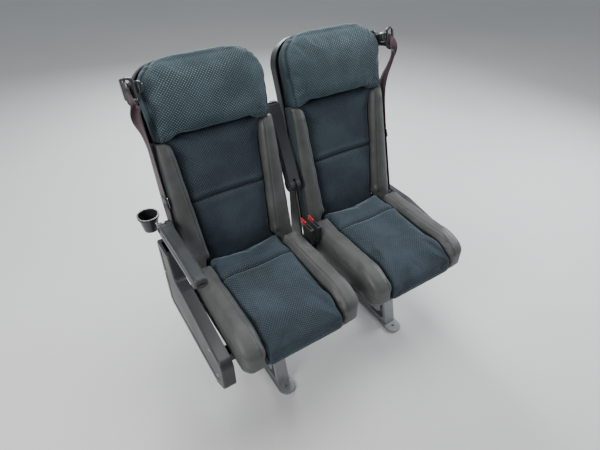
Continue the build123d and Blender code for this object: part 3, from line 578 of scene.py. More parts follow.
def coated_metal(name, base, rough, metallic, texture_scale=260.0):
    """Powder-coated or cast metal: orange peel, and bare worn patches."""
    n = Nodes(name)
    place = n.place()
    peel = n.noise(place, texture_scale, 2.0)
    cloud = n.noise(place, 10.0, 4.0)
    chips = n.ramp(n.noise(place, 75.0, 6.0, 0.8), 0.68, 0.74)
    color = n.mix(n.ramp(cloud, 0.35, 0.65), toned(base, 0.8), base)
    color = n.mix(n.times(chips, 0.4), color, toned(base, 1.7, 0.05))
    roughness = n.ramp(cloud, *CLOUDS, rough - 0.06, rough + 0.06)
    return n.done(color, roughness, n.bump(peel, 0.3, 0.0004), Metallic=metallic)


def woven_strap(name, base, edge):
    """Belt webbing: a fine twill across the strap, u across and v along in metres."""
    n = Nodes(name)
    u, v = n.cloth()
    off_middle = n.math("ABSOLUTE", u)
    ridge = n.math("SINE", n.times(n.plus(off_middle, n.times(v, 0.5)), 2 * math.pi / TWILL))
    cord = n.math("SINE", n.times(u, 2 * math.pi / CORD))
    weave = n.plus(n.times(ridge, 0.5), n.times(cord, 0.5))
    tone = n.noise(n.place(), 24.0, 4.0)
    color = n.mix(n.ramp(tone, *CLOUDS), toned(base, 0.75), base)
    color = n.mix(n.times(n.ramp(weave, -0.8, 0.2, 1.0, 0.0), 0.4), color, toned(base, 0.45))
    color = n.mix(n.ramp(off_middle, *SELVEDGE), color, edge)
    return n.done(color, 0.62, n.bump(weave, 0.4, 0.0004), Sheen_Weight=0.35, Sheen_Roughness=0.35)


def stitch_thread(name, base):
    n = Nodes(name)
    twist = n.noise(n.place(), 2200.0, 2.0)
    return n.done(n.mix(twist, toned(base, 0.7), base), 0.6, n.bump(twist, 0.3, 0.0001))


# Geometry Nodes

class Tree(Graph):
    """A Geometry Nodes tree with named inputs."""

    def __init__(self, name, inputs):
        super().__init__(bpy.data.node_groups.new(name, "GeometryNodeTree"))
        sockets = self.tree.interface
        sockets.new_socket("Geometry", in_out="INPUT", socket_type="NodeSocketGeometry")
        for label, kind, value in inputs:
            socket = sockets.new_socket(label, in_out="INPUT", socket_type=kind)
            if value is not None:
                socket.default_value = value
        sockets.new_socket("Geometry", in_out="OUTPUT", socket_type="NodeSocketGeometry")
        self.given = self.add("NodeGroupInput").outputs

    def result(self, geometry, surface):
        real = self.out("GeometryNodeRealizeInstances", {"Geometry": geometry})
        dressed = self.out("GeometryNodeSetMaterial", {"Geometry": real, "Material": surface})
        self.add("NodeGroupOutput", {0: dressed})


def run_tree(obj, group, **values):
    """Applies a tree to an object, its inputs set by their socket identifiers."""
    maker = obj.modifiers.new(group.name, "NODES")
    maker.node_group = group
    for item in group.interface.items_tree:
        if item.item_type == "SOCKET" and item.in_out == "INPUT" and item.name in values:
            maker[item.identifier] = values[item.name]
    settle(obj)


def stitch_tree():
    """Short threads at an even spacing along polylines."""
    tree = Tree("stitches", (("Spacing", "NodeSocketFloat", STITCH_SPACING),
                             ("Length", "NodeSocketFloat", 0.0034),
                             ("Thickness", "NodeSocketFloat", 0.0007),
                             ("Thread", "NodeSocketMaterial", None)))
    given = tree.given
    curve = tree.out("GeometryNodeMeshToCurve", {"Mesh": given["Geometry"]})
    even = {"Curve": curve, "Length": given["Spacing"]}
    points = tree.out("GeometryNodeResampleCurve", even, mode="LENGTH")
    tangent = tree.out("GeometryNodeInputTangent")
    turn = tree.out("FunctionNodeAlignRotationToVector", {"Vector": tangent}, axis="X")
    size = tree.out("ShaderNodeCombineXYZ", {"X": given["Length"], "Y": given["Thickness"],
                                            "Z": given["Thickness"]})
    thread = tree.out("GeometryNodeMeshIcoSphere", {"Radius": 0.5, "Subdivisions": 2})
    placed = tree.out("GeometryNodeInstanceOnPoints", {"Points": points, "Instance": thread,
                                                       "Rotation": turn, "Scale": size})
    tree.result(tree.out("GeometryNodeSetShadeSmooth", {"Geometry": placed}), given["Thread"])


def screw_tree():
    """Domed screw heads with a hexagon socket on points that carry a facing direction."""
    tree = Tree("screws", (("Radius", "NodeSocketFloat", 0.005), ("Socket", "NodeSocketFloat", 0.0024),
                           ("Metal", "NodeSocketMaterial", None)))
    given = tree.given
    dome = tree.out("GeometryNodeMeshUVSphere", {"Segments": 20, "Rings": 10, "Radius": given["Radius"]})
    flat = tree.out("GeometryNodeTransform", {"Geometry": dome, "Scale": (1.0, 1.0, 0.5)})
    key = tree.out("GeometryNodeMeshCylinder", {"Vertices": 6, "Radius": given["Socket"], "Depth": 0.006})
    lifted = tree.out("GeometryNodeTransform", {"Geometry": key, "Translation": (0, 0, 0.0042)})
    head = tree.out("GeometryNodeMeshBoolean", {0: flat, 1: lifted}, operation="DIFFERENCE")
    facing = tree.out("GeometryNodeInputNamedAttribute", {"Name": "facing"}, data_type="FLOAT_VECTOR")
    turn = tree.out("FunctionNodeAlignRotationToVector", {"Vector": facing}, axis="Z")
    placed = tree.out("GeometryNodeInstanceOnPoints", {"Points": given["Geometry"], "Instance": head,
                                                       "Rotation": turn})
    tree.result(placed, given["Metal"])


def stitched_lines(name, body, lines, thread):
    """Stitches along polylines, as one piece."""
    points, edges = [], []
    for line in lines:
        start = len(points)
        points += line
        edges += [(start + i, start + i + 1) for i in range(len(line) - 1)]
    obj = new_object(name, mesh_from(name, points, [], edges))
    run_tree(obj, bpy.data.node_groups["stitches"], Spacing=STITCH_SPACING, Thread=material(thread))
    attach(obj, body)


def screws(name, body, spots, radius, metal="bright_steel"):
    """Screw heads at (point, facing) pairs, as one piece."""
    obj = new_object(name, mesh_from(name, [point for point, _ in spots], []))
    layer = obj.data.attributes.new("facing", "FLOAT_VECTOR", "POINT")
    layer.data.foreach_set("vector", [c for _, facing in spots for c in facing])
    run_tree(obj, bpy.data.node_groups["screws"], Radius=radius, Socket=0.45 * radius, Metal=material(metal))
    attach(obj, body)


# Sizes and colours that a user would change

COLOUR_PROP = {"subtype": "COLOR", "size": 3, "min": 0, "max": 1}
SWELL_PROP = {"subtype": "DISTANCE", "unit": "LENGTH", "min": 0.0, "max": 0.03}


class SeatColours(bpy.types.PropertyGroup):
    head: bpy.props.FloatVectorProperty(name="Head plush", description="Ground colour of the head cover",
                                        default=(0.036, 0.056, 0.066), **COLOUR_PROP)
    seat: bpy.props.FloatVectorProperty(name="Seat plush", description="Ground colour of back and cushion",
                                        default=(0.031, 0.042, 0.055), **COLOUR_PROP)
    dots: bpy.props.FloatVectorProperty(name="Dots", description="Colour of the woven dots",
                                        default=(0.25, 0.32, 0.35), **COLOUR_PROP)
    sides: bpy.props.FloatVectorProperty(name="Leatherette", description="Colour of the bolsters",
                                         default=(0.078, 0.082, 0.080), **COLOUR_PROP)
    strap: bpy.props.FloatVectorProperty(name="Belt", description="Colour of the belt webbing",
                                         default=(0.074, 0.038, 0.049), **COLOUR_PROP)


class SeatSizes(bpy.types.PropertyGroup):
    voxel: bpy.props.FloatProperty(name="Cover mesh", description="Size of the quads under the covers",
                                   subtype="DISTANCE", unit="LENGTH", default=0.0057, min=0.003, max=0.012)
    head_swell: bpy.props.FloatProperty(name="Head swell", description="How far the head cover may swell",
                                        default=0.010, **SWELL_PROP)
    back_swell: bpy.props.FloatProperty(name="Back swell", description="How far the back panel may swell",
                                        default=0.009, **SWELL_PROP)
    seat_swell: bpy.props.FloatProperty(name="Seat swell", description="How far the seat cushion may swell",
                                        default=0.010, **SWELL_PROP)
    side_swell: bpy.props.FloatProperty(name="Bolster swell", description="How far the bolsters may swell",
                                        default=0.006, **SWELL_PROP)


def sizes():
    return bpy.context.scene.seat_sizes


class SEAT_OT_finishes(bpy.types.Operator):
    """Make the materials and give the frame's own pieces theirs"""
    bl_idname = "seat.finishes"
    bl_label = "Finishes"

    def execute(self, context):
        tones = context.scene.seat_colours
        dotted_plush("head_fabric", tuple(tones.head), tuple(tones.dots), 0.85)
        dotted_plush("seat_fabric", tuple(tones.seat), toned(tones.dots, 0.62), 0.6)
        leatherette("leatherette", tuple(tones.sides), toned(tones.sides, 0.72), toned(tones.head, 0.8))
        leatherette("arm_skin", (0.032, 0.038, 0.044), (0.022, 0.026, 0.030))
        woven_strap("webbing", tuple(tones.strap), toned(tones.strap, 0.5))
        coated_metal("frame_steel", (0.022, 0.022, 0.024), 0.48, 0.0)
        coated_metal("pan_steel", (0.10, 0.10, 0.11), 0.5, 0.0)
        coated_metal("cast_leg", (0.36, 0.37, 0.38), 0.42, 0.55, 180.0)
        coated_metal("bright_steel", (0.55, 0.55, 0.56), 0.28, 1.0, 500.0)
        moulding("shell_plastic", (0.042, 0.046, 0.050), 0.5)
        moulding("cover_plastic", (0.026, 0.028, 0.032), 0.46, scuff=0.3)
        moulding("arm_plastic", (0.035, 0.038, 0.042), 0.45)
        moulding("button_plastic", (0.012, 0.012, 0.013), 0.3, coat=0.3)
        moulding("guide_plastic", (0.020, 0.025, 0.026), 0.27, 700.0, 0.15, 0.25)
        moulding("buckle_plastic", (0.018, 0.018, 0.019), 0.42)
        moulding("pocket_plastic", (0.040, 0.042, 0.046), 0.55)
        moulding("cup_plastic", (0.018, 0.020, 0.022), 0.36, coat=0.2)
        moulding("release_red", (0.42, 0.012, 0.010), 0.35, coat=0.3)
        stitch_thread("dark_thread", (0.05, 0.055, 0.06))
        stitch_thread("grey_thread", (0.20, 0.21, 0.21))
        for finish, beginnings in CAD_FINISHES.items():
            for node, obj in frame["nodes"].items():
                if node.startswith(beginnings):
                    obj.data.materials.clear()
                    obj.data.materials.append(material(finish))
        stitch_tree()
        screw_tree()
        return {"FINISHED"}


class SEAT_OT_head_pads(bpy.types.Operator):
    """Build the head pads with their dotted fronts and plain side gussets"""
    bl_idname = "seat.head_pads"
    bl_label = "Head pads"

    CORNER = 0.096                # rounding of the upper corners
    LOWER_RADII = (0.004, 0.006, 0.016)   # at the lap's outer and inner end and at the lip's end
    TAPER = 0.017                 # the pad is this much narrower at its lip, each side
    EDGE = 0.030                  # rounding of the front edge
    START_INSET = 0.004           # left for the cover to swell into
    HELD_REAR = 0.012             # the cover is held down over this depth at the rear
    HELD_LOBE = 0.006             # and below this height over the lip's, beside the lip
    # Spans in height count from the lip, those in half width from the lip's end
    TIGHT = 0.85                  # share of the edge's rounding that the lobes beside the lip lack
    TIGHT_RISE = (0.05, 0.005)
    TIGHT_SPREAD = (-0.01, 0.01)
    LOBE_BACK = 0.012             # the lobes lie back
    LOBE_RISE = (0.075, 0.005)
    LOBE_SPREAD = (-0.02, 0.03)
    LIP_FORWARD = 0.004           # the lip comes forward
    LIP_SAG = 0.005               # and down
    LIP_RISE = (0.07, 0.01)
    LIP_SPREAD = (0.01, -0.067)
    SINK = 0.020                  # beside the lip the cloth runs back to the panel
    SINK_START = 0.010            # from this height over the lip's
    SINK_END = 0.006              # to this height over the lap's end
    SINK_HALF = (0.182, 0.152)    # half widths between which it does
    CROWN_BACK = 0.017            # the crown lies back
    CROWN_RISE = (-0.12, 0.0)     # from this far below the top
    FRONT = (-0.01, 0.02)         # depth where the front's moves begin, and how near its face they are full
    BAND = 0.014                  # width of the side gusset seen from the front
    BAND_HALF = (0.10, 0.17)      # the gusset opens between these half widths at the crown
    BAND_RISE = (0.1, 0.0)        # and lower down everywhere
    MASK_EDGE = (0.0012, -0.0012)     # the gusset's cloth fades in across its seam
    SEAM_HALF = (0.10, 0.15)      # the gusset's seam shows from these half widths on
    SEAM_WIDTH = 0.003
    SEAM_DEEP = 0.0022
    UNEVEN = (0.0009, 38)         # height and fineness of the cover's lumps
    STITCH_IN = 0.004             # from the gusset to its topstitch
    STITCH_ENDS = (0.01, 0.07)    # from the lip and from the top to the ends of that line

    def execute(self, context):
        low, high = node_box("head_pad_aisle", BACK["aisle"])
        half, foot = high.x, high.x - self.TAPER
        panel_half = node_box("back_panel_aisle", BACK["aisle"])[1].x
        lap_out, lap_in = low.z - SHOULDER_OUT - SHOULDER_LAP, low.z - SHOULDER_IN - SHOULDER_LAP
        half_view = [(foot, lap_out), (panel_half, lap_in), (LIP_HALF, low.z)]
        corners = [(-x, z) for x, z in half_view] + half_view[::-1] + [(half, high.z), (-half, high.z)]
        radii = [*self.LOWER_RADII, *self.LOWER_RADII[::-1], self.CORNER, self.CORNER]
        outline = inset(rounded(corners, radii), self.START_INSET)

        def beside(height, x, rise, spread):
            """How much a point belongs to a span of height over the lip and of half width from its end."""
            return fade(height, rise, low.z) * fade(abs(x), spread, LIP_HALF)

        def edge_share(point):
            return 1.0 - self.TIGHT * beside(point.y, point.x, self.TIGHT_RISE, self.TIGHT_SPREAD)

        pad = pad_on_back("head_pad_cover", outline, high.y, low.y + self.START_INSET, self.EDGE, edge_share)
        remesh(pad)

        def half_at(z):
            """The tapering pad's half width at a height."""
            return foot + (half - foot) * (z - low.z) / (high.z - low.z)

        def edge_of(point):
            """How far a point lies inside the pad's side outline."""
            side, x, top = half_at(point.z), abs(point.x), high.z - self.CORNER
            if point.z > top and x > side - self.CORNER:
                return self.CORNER - math.hypot(x - (side - self.CORNER), point.z - top)
            return side - x

        def held(point):
            lobe = point.z < low.z + self.HELD_LOBE and abs(point.x) > LIP_HALF
            return point.y > high.y - self.HELD_REAR or lobe

        def lip_share(point):
            return beside(point.z, point.x, self.LIP_RISE, self.LIP_SPREAD)

        def recess(point):
            """How far the front lies back at the crown, beside the lip and towards the panel."""
            crown = self.CROWN_BACK * fade(point.z, self.CROWN_RISE, high.z)
            lobe = self.LOBE_BACK * beside(point.z, point.x, self.LOBE_RISE, self.LOBE_SPREAD)
            depths = (low.z + self.SINK_START, lap_in + self.SINK_END)
            sink = self.SINK * fade(point.z, depths) * fade(abs(point.x), self.SINK_HALF)
            return crown + lobe + sink - self.LIP_FORWARD * lip_share(point)

        def settle_shape(point, normal):
            front = fade(point.y, (self.FRONT[0], low.y + self.FRONT[1]))
            return Vector((0, recess(point) * front, -self.LIP_SAG * lip_share(point) * front))

        puff(pad, held, sizes().head_swell)
        shape_points(pad, settle_shape)
        subdivide(pad)

        def band_width(point):
            """The side gusset's width; it closes towards the middle of the top."""
            return self.BAND * max(fade(abs(point.x), self.BAND_HALF), fade(point.z, self.BAND_RISE, low.z))

        def laid(point):
            """The cloth runs on sideways round the sides, upwards over the top, downwards under the lip."""
            back = max(0.0, point.y - low.y - recess(point))
            turn = math.acos(1.0 - min(1.0, back / self.EDGE))
            more = self.EDGE * (turn - math.sin(turn)) + max(0.0, back - self.EDGE)
            sideways = max(0.0, abs(point.x) - foot + self.CORNER)
            upwards = max(0.0, point.z - high.z + self.CORNER)
            away = Vector((sideways, upwards)).lerp(Vector((0, -self.CORNER)), lip_share(point)).normalized()
            return point.x + math.copysign(more * away.x, point.x), point.z + more * away.y

        def seam_of(point):
            line = bell(edge_of(point) - band_width(point), self.SEAM_WIDTH)
            return line * fade(abs(point.x), self.SEAM_HALF) * (point.y < 0.0)

        lump, fine = self.UNEVEN
        shape_points(pad, lambda p, n: -n * self.SEAM_DEEP * seam_of(p))
        shape_points(pad, lambda p, n: n * lump * noise.noise(p * fine))
        # The seam mask darkens the plush there: painted shade in the seam's dip.
        paint(pad, "seam", lambda p, n: seam_of(p))
        paint(pad, "gusset", lambda p, n: fade(edge_of(p), self.MASK_EDGE, band_width(p)))
        lay_cloth(pad.data, [laid(v.co) for v in pad.data.vertices])
        smooth_shaded(pad)
        heights = evenly(low.z + self.STITCH_ENDS[0], high.z - self.STITCH_ENDS[1], 60)
        lines = []
        for side in (-1, 1):
            inner = [side * (half_at(z) - self.BAND - self.STITCH_IN) for z in heights]
            starts = [(x, low.y - RAY_START, z) for x, z in zip(inner, heights)]
            lines.append(thread_line(pad, starts, (0, 1, 0)))
        for name, place in BACK.items():
            piece = twin(pad, f"head_pad_cover_{name}", place)
            finish_piece(piece, f"back_{name}", "head_fabric", f"head_pad_{name}")
            placed = [[place @ p for p in line] for line in lines]
            stitched_lines(f"head_stitches_{name}", f"back_{name}", placed, "dark_thread")
        bpy.data.objects.remove(pad)
        return {"FINISHED"}


class SEAT_OT_back_panels(bpy.types.Operator):
    """Build the dotted centre panels of the backs, with the cross seam"""
    bl_idname = "seat.back_panels"
    bl_label = "Back panels"

    SEAM = 0.307                  # height of the cross seam
    SEAM_BOW = 0.004              # the seam's ends lie lower by this
    LOINS = 0.205                 # height at which the panel is fullest
    TOP_BACK = 0.004              # its top lies back from there
    FLARE = 0.022                 # and runs this far behind the bolsters' rounded corners
    TOP_IN = 0.003                # below them it is narrower than its solid by this
    RADII = (0.006, 0.004, 0.001, 0.010, 0.008, 0.008)    # from the foot to the top
    START_INSET = 0.0012
    START_BACK = 0.005            # left for the cover to swell into
    EDGE = 0.013
    FOOT_EDGE = 0.3               # share of that rounding at the foot
    FOOT_EDGE_END = 0.11          # and the height where it is full
    HELD_REAR = 0.026             # the cover is held down from this far behind its front
    FOOT_BACK = 0.020             # the foot lies back from the cushion
    FOOT_BACK_TOP = 0.15          # below this height
    FRONT = (0.012, -0.012)       # depths over which these moves come in
    GROOVE_FRONT = (0.0, -0.012)  # and those of the seam
    DIP = (0.0075, 0.0, 0.0045)   # the seam: depth, place over it and width
    ROLL_OVER = (0.0035, 0.016, 0.010)
    ROLL_UNDER = (0.0018, -0.018, 0.014)
    SEAM_SHADE = (1.0, -0.001, 0.003)     # its shade: tone, place and width
    GATHER = (0.0008, 120)        # height and fineness of the gathers
    UNEVEN = (0.0010, 30)

    def execute(self, context):
        low, high = node_box("back_panel_aisle", BACK["aisle"])
        wide, foot = high.x, FOOT_HALF - GAP
        under = high.z - SHOULDER_IN - 2 * SHOULDER_R
        half_view = [(foot, FOOT_HEIGHT), (foot, FOOT_STEP), (PANEL_LOW_HALF, FOOT_STEP),
                     (wide - self.TOP_IN, under), (wide + self.FLARE, under + SHOULDER_R),
                     (wide + self.FLARE, high.z)]
        corners = half_view + [(-x, z) for x, z in reversed(half_view)]
        outline = inset(rounded(corners, self.RADII + self.RADII[::-1], 5), self.START_INSET)

        def edge_share(point):
            return self.FOOT_EDGE + (1 - self.FOOT_EDGE) * fade(point.y, (FOOT_HEIGHT, self.FOOT_EDGE_END))

        front = low.y + self.START_BACK
        panel = pad_on_back("back_panel_cover", outline, high.y, front, self.EDGE, edge_share)
        remesh(panel)

        def over_seam(point):
            return point.z - (self.SEAM - self.SEAM_BOW * (point.x / wide) ** 2)

        def held(point):
            return point.y > low.y + self.HELD_REAR or abs(over_seam(point)) < SEAM_HELD

        def profile(point, normal):
            """The foot lies back from the cushion, and the top a little behind the loins."""
            foot_back = self.FOOT_BACK * fade(point.z, (self.FOOT_BACK_TOP, FOOT_HEIGHT))
            top_back = self.TOP_BACK * fade(point.z, (self.LOINS, high.z))
            return Vector((0, fade(point.y, self.FRONT) * (foot_back + top_back), 0))

        puff(panel, held, sizes().back_swell)
        shape_points(panel, profile)
        subdivide(panel)

        def groove(point, normal):
            away = over_seam(point)
            roll = swell(away, *self.ROLL_OVER) + swell(away, *self.ROLL_UNDER)
            back = swell(away, *self.DIP) - roll + gathers(point.x, away, *self.GATHER)
            return Vector((0, fade(point.y, self.GROOVE_FRONT) * back, 0))

        lump, fine = self.UNEVEN
        shape_points(panel, groove)
        shape_points(panel, lambda p, n: n * lump * noise.noise(p * fine))
        paint(panel, "seam", lambda p, n: swell(over_seam(p), *self.SEAM_SHADE) * (p.y < 0.0))
        lay_cloth(panel.data, [(v.co.x, v.co.z) for v in panel.data.vertices])
        smooth_shaded(panel)
        for name, place in BACK.items():
            piece = twin(panel, f"back_panel_cover_{name}", place)
            finish_piece(piece, f"back_{name}", "seat_fabric", f"back_panel_{name}")
        bpy.data.objects.remove(panel)
        return {"FINISHED"}


# The bolsters' topstitch, alike on backs and seats
VALLEY = (0.0016, 0.0, 0.0028)    # the dip in the skin: depth, place beside the seam and width
SEAM_TONE = 0.6               # how dark the painted shade in the seam's dip is
SEAM_LINE = 0.0018            # and how wide


class SEAT_OT_back_bolsters(bpy.types.Operator):
    """Build the leatherette bolsters beside the back panels, with plain cloth on their outer sides"""
    bl_idname = "seat.back_bolsters"
    bl_label = "Back bolsters"

    STEP_RISE = 0.001             # the step over the cushion rises by this towards the panel
    RADII = (0.003, 0.024, 0.004, SHOULDER_R, 0.004, 0.002)   # from the foot's inner corner outwards
    START_INSET = 0.0012
    START_BACK = 0.003
    EDGE = 0.021
    TIGHT = 0.85                  # share of that rounding which the top lacks, under the head pad's cover
    TIGHT_DOWN = (0.014, 0.004)
    TUCK = 0.006                  # the top lies back under that cover
    TUCK_DOWN = (0.045, 0.004)
    FRONT = (0.0, -0.03)          # depths over which the front's moves come in
    HELD_REAR = -0.004            # the cover is held down behind this depth
    WAVES = (0.0012, (20, 20, 26))    # height and fineness of the skin's waves
    STITCH = 0.017                # topstitch from the inner edge
    STITCH_ENDS = (0.03, 0.055)   # from the step and from the top to the ends of that line
    SIDE_BAND = 0.007             # the outer side's cloth begins this far in
    SIDE_VALLEY = (0.0014, 0.0, 0.0026)
    # SIDE_TONE: how dark the painted shade at the side band's seam is
    SIDE_TONE = 0.8
    SEAM_FRONT = -0.01            # the seams' shade ends at this depth
    MASK_EDGE = (0.001, -0.001)

    def execute(self, context):
        low, high = node_box("back_bolsters_aisle", BACK["aisle"])
        narrow, wide = PANEL_LOW_HALF + GAP, PANEL_TOP_HALF + GAP
        outer, step = high.x, FOOT_STEP + self.STEP_RISE
        corners = [(FOOT_HALF, FOOT_HEIGHT), (outer, FOOT_HEIGHT), (outer, high.z - SHOULDER_OUT),
                   (wide, high.z - SHOULDER_IN), (narrow, step), (FOOT_HALF, FOOT_STEP)]
        outline = inset(rounded(corners, self.RADII), self.START_INSET)

        def below_top(x, z):
            """How far a point lies below the sloping top."""
            share = (x - wide) / (outer - wide)
            return high.z - SHOULDER_IN + (SHOULDER_IN - SHOULDER_OUT) * share - z

        def edge_share(point):
            return 1.0 - self.TIGHT * fade(below_top(point.x, point.y), self.TIGHT_DOWN)

        bolster = pad_on_back("bolster", outline, high.y, low.y + self.START_BACK, self.EDGE, edge_share)
        remesh(bolster)
        puff(bolster, lambda p: p.y > self.HELD_REAR, sizes().side_swell)
        subdivide(bolster)

        def inner_at(z):
            """Half width of the bolster's inner edge at a height."""
            return narrow + (wide - narrow) * (z - step) / (high.z - step)

        def off_stitch(point):
            return point.x - inner_at(point.z) - self.STITCH

        def off_band(point):
            return outer - point.x - self.SIDE_BAND

        def dressed(point, normal):
            front = fade(point.y, self.FRONT)
            height, fine = self.WAVES
            wave = height * noise.noise(point * Vector(fine))
            valley = swell(off_stitch(point), *VALLEY)
            side = swell(off_band(point), *self.SIDE_VALLEY)
            tuck = self.TUCK * fade(below_top(point.x, point.z), self.TUCK_DOWN) * front
            return normal * (wave - (valley + side) * front) + Vector((0, tuck, 0))

        def kept_in(point, normal):
            """Keeps the bolster off the panel beside it."""
            over = narrow - point.x if point.z > step else FOOT_HALF - point.x
            return Vector((max(0.0, over), 0, 0))

        # Painted shade in the dips of the topstitch and of the side band's seam.
        def seam(point, normal):
            stitch = SEAM_TONE * bell(off_stitch(point), SEAM_LINE)
            band = self.SIDE_TONE * bell(off_band(point), SEAM_LINE)
            return max(stitch, band) * (point.y < self.SEAM_FRONT)

        shape_points(bolster, dressed)
        shape_points(bolster, kept_in)
        paint(bolster, "seam", seam)
        paint(bolster, "gusset", lambda p, n: fade(outer - p.x, self.MASK_EDGE, self.SIDE_BAND))
        smooth_shaded(bolster)
        heights = evenly(step + self.STITCH_ENDS[0], high.z - self.STITCH_ENDS[1], 90)
        starts = [(inner_at(z) + self.STITCH + TOPSTITCH_OUT, low.y - RAY_START, z) for z in heights]
        line = thread_line(bolster, starts, (0, 1, 0))
        for name, place in BACK.items():
            lines = []
            for side, label in SIDES:
                mirror = place @ Matrix.Diagonal((side, 1, 1, 1))
                piece = twin(bolster, f"back_bolster_{label}_{name}", mirror)
                finish_piece(piece, f"back_{name}", "leatherette", f"back_bolsters_{name}")
                lines.append([mirror @ p for p in line])
            stitched_lines(f"bolster_stitches_{name}", f"back_{name}", lines, "grey_thread")
        bpy.data.objects.remove(bolster)
        return {"FINISHED"}


class SEAT_OT_cushions(bpy.types.Operator):
    """Build the seat cushions: a dotted centre between two leatherette bolsters"""
    bl_idname = "seat.cushions"
    bl_label = "Seat cushions"

    START_INSET = 0.0015
    UNDERSIDE = (0.5, 0.3)        # the lower edge lies in and rises by these shares of the upper one
    REAR_TIGHT = 0.6              # share of the edge's rounding that the rear end lacks
    REAR_SPAN = (-0.02, -0.004)
    FALL = 0.034                  # the waterfall front drops by this
    FALL_START = 0.02             # above this height over the underside
    UNDERCUT = 0.022              # and its lower edge lies back by this
    UNDERCUT_TOP = 0.03

    # The dotted centre
    CENTRE_LOW = 0.006            # its block is lower than its solid, for the cover to swell into
    CENTRE_RADII = (0.010, 0.010, 0.005, 0.005)
    CENTRE_EDGE = 0.016
    CENTRE_NOSE = 0.11            # length of its waterfall
    CENTRE_HELD = 0.035           # the cover is held below this height over the underside
    SEAM_BACK = 0.115             # cross seam, ahead of the cushion's rear end
    SEAM_BOW = 0.004              # the seam rises by this towards its ends
    SEAM_BOW_HALF = (0.0, 0.12)
    TOP = (-0.05, -0.02)          # the seam's shapes fade out down the sides
    DIP = (0.008, 0.0, 0.0045)    # depth, place and width
    ROLL = (0.003, 0.018, 0.012)
    HOLLOW = (0.005, -0.13, 0.11)     # the seat's hollow ahead of the seam
    HOLLOW_HALF = 0.10
    GATHER = (0.0010, 110)
    UNEVEN = (0.0010, 28)
    SEAM_WIDTH = 0.003
    SEAM_DOWN = 0.06              # the seam's shade ends this far below the top
    CLOTH_DOWN = 0.02             # below this the cloth hangs over the front

    # The bolsters
    SIDE_GAP = 0.0008
    SIDE_REAR = 0.004             # their covers reach this far behind their solids
    SIDE_RADII = (0.012, 0.030, 0.018, 0.004)
    SIDE_EDGE = 0.026
    SIDE_NOSE = 0.12
    SIDE_HELD = 0.03
    SIDE_WAVES = (0.0012, 24)
    STITCH = 0.020                # topstitch from the inner edge
    STITCH_ENDS = (0.02, 0.03)
    UPWARD = 0.2                  # its dip shows where the skin's normal rises more than this

    def cushion(self, name, low, high, radii, edge, nose):
        """A cushion block in the aisle place's x, with a waterfall front."""
        outline = inset(rectangle(low.xy, high.xy, radii), self.START_INSET)
        top = high.z - self.START_INSET
        levels = [(self.UNDERSIDE[0] * edge, low.z), (0.0, low.z + self.UNDERSIDE[1] * edge)]
        levels += [(pull, top - drop) for pull, drop in rounded_edge(edge)]
        shares = [1.0 - self.REAR_TIGHT * fade(p.y, self.REAR_SPAN, high.y) for p in outline]
        rings = []
        for pull, z in levels:
            moved = [p.lerp(q, share) for p, q, share in zip(outline, inset(outline, pull), shares)]
            rings.append(ring(moved, 2, z))
        body = stack(name, rings)
        remesh(body)

        def waterfall(point, normal):
            near = fade(point.y, (nose, 0.0), low.y)
            fall = fade(point.z, (low.z + self.FALL_START, high.z)) * near * near
            undercut = fade(point.z, (self.UNDERCUT_TOP, 0.0), low.z) * near
            return Vector((0, self.UNDERCUT * undercut, -self.FALL * fall))

        shape_points(body, waterfall)
        return body

    def centre_cover(self, low, high, centre):
        """The dotted centre of the aisle place, with its cross seam."""
        seam_y = high.y - self.SEAM_BACK
        top = high - Vector((0, 0, self.CENTRE_LOW))
        body = self.cushion("cushion_cover", low, top, self.CENTRE_RADII, self.CENTRE_EDGE, self.CENTRE_NOSE)

        def held(point):
            return point.z < low.z + self.CENTRE_HELD or abs(point.y - seam_y) < SEAM_HELD

        def dressed(point, normal):
            away, across = point.y - seam_y, point.x - centre
            bow = self.SEAM_BOW * fade(abs(across), self.SEAM_BOW_HALF)
            hollow = swell(away, *self.HOLLOW) * bell(across, self.HOLLOW_HALF)
            down = swell(away, *self.DIP) - swell(abs(away), *self.ROLL) + hollow - bow
            down += gathers(point.x, away, *self.GATHER)
            lump, fine = self.UNEVEN
            sag = Vector((0, 0, -fade(point.z, self.TOP, high.z) * down))
            return sag + normal * lump * noise.noise(point * fine)

        def seam(point, normal):
            return bell(point.y - seam_y, self.SEAM_WIDTH) * (point.z > high.z - self.SEAM_DOWN)

        puff(body, held, sizes().seat_swell)
        subdivide(body)
        shape_points(body, dressed)
        paint(body, "seam", seam)
        paint(body, "gusset", lambda p, n: 0.0)
        hang = high.z - self.CLOTH_DOWN
        lay_cloth(body.data, [(v.co.x, v.co.y - max(0.0, hang - v.co.z)) for v in body.data.vertices])
        return smooth_shaded(body)

    def side_cover(self, inner, low, high):
        """The bolster on the centre's +X side, and the line of its topstitch."""
        start = Vector((inner, low.y, low.z))
        end = high + Vector((0, self.SIDE_REAR, 0))
        bolster = self.cushion("cushion_side", start, end, self.SIDE_RADII, self.SIDE_EDGE, self.SIDE_NOSE)
        puff(bolster, lambda p: p.z < low.z + self.SIDE_HELD, sizes().side_swell)
        subdivide(bolster)
        stitch_x = inner + self.STITCH

        def dressed(point, normal):
            height, fine = self.SIDE_WAVES
            valley = swell(point.x - stitch_x, *VALLEY) * (normal.z > self.UPWARD)
            return normal * (height * noise.noise(point * fine) - valley)

        shape_points(bolster, dressed)
        shape_points(bolster, lambda p, n: Vector((max(0.0, inner - p.x), 0, 0)))
        paint(bolster, "seam", lambda p, n: SEAM_TONE * bell(p.x - stitch_x, SEAM_LINE) * (n.z > self.UPWARD))
        smooth_shaded(bolster)
        places = evenly(low.y + self.STITCH_ENDS[0], high.y - self.STITCH_ENDS[1], 80)
        starts = [(stitch_x + TOPSTITCH_OUT, y, high.z + RAY_START) for y in places]
        return bolster, thread_line(bolster, starts, (0, 0, -1))

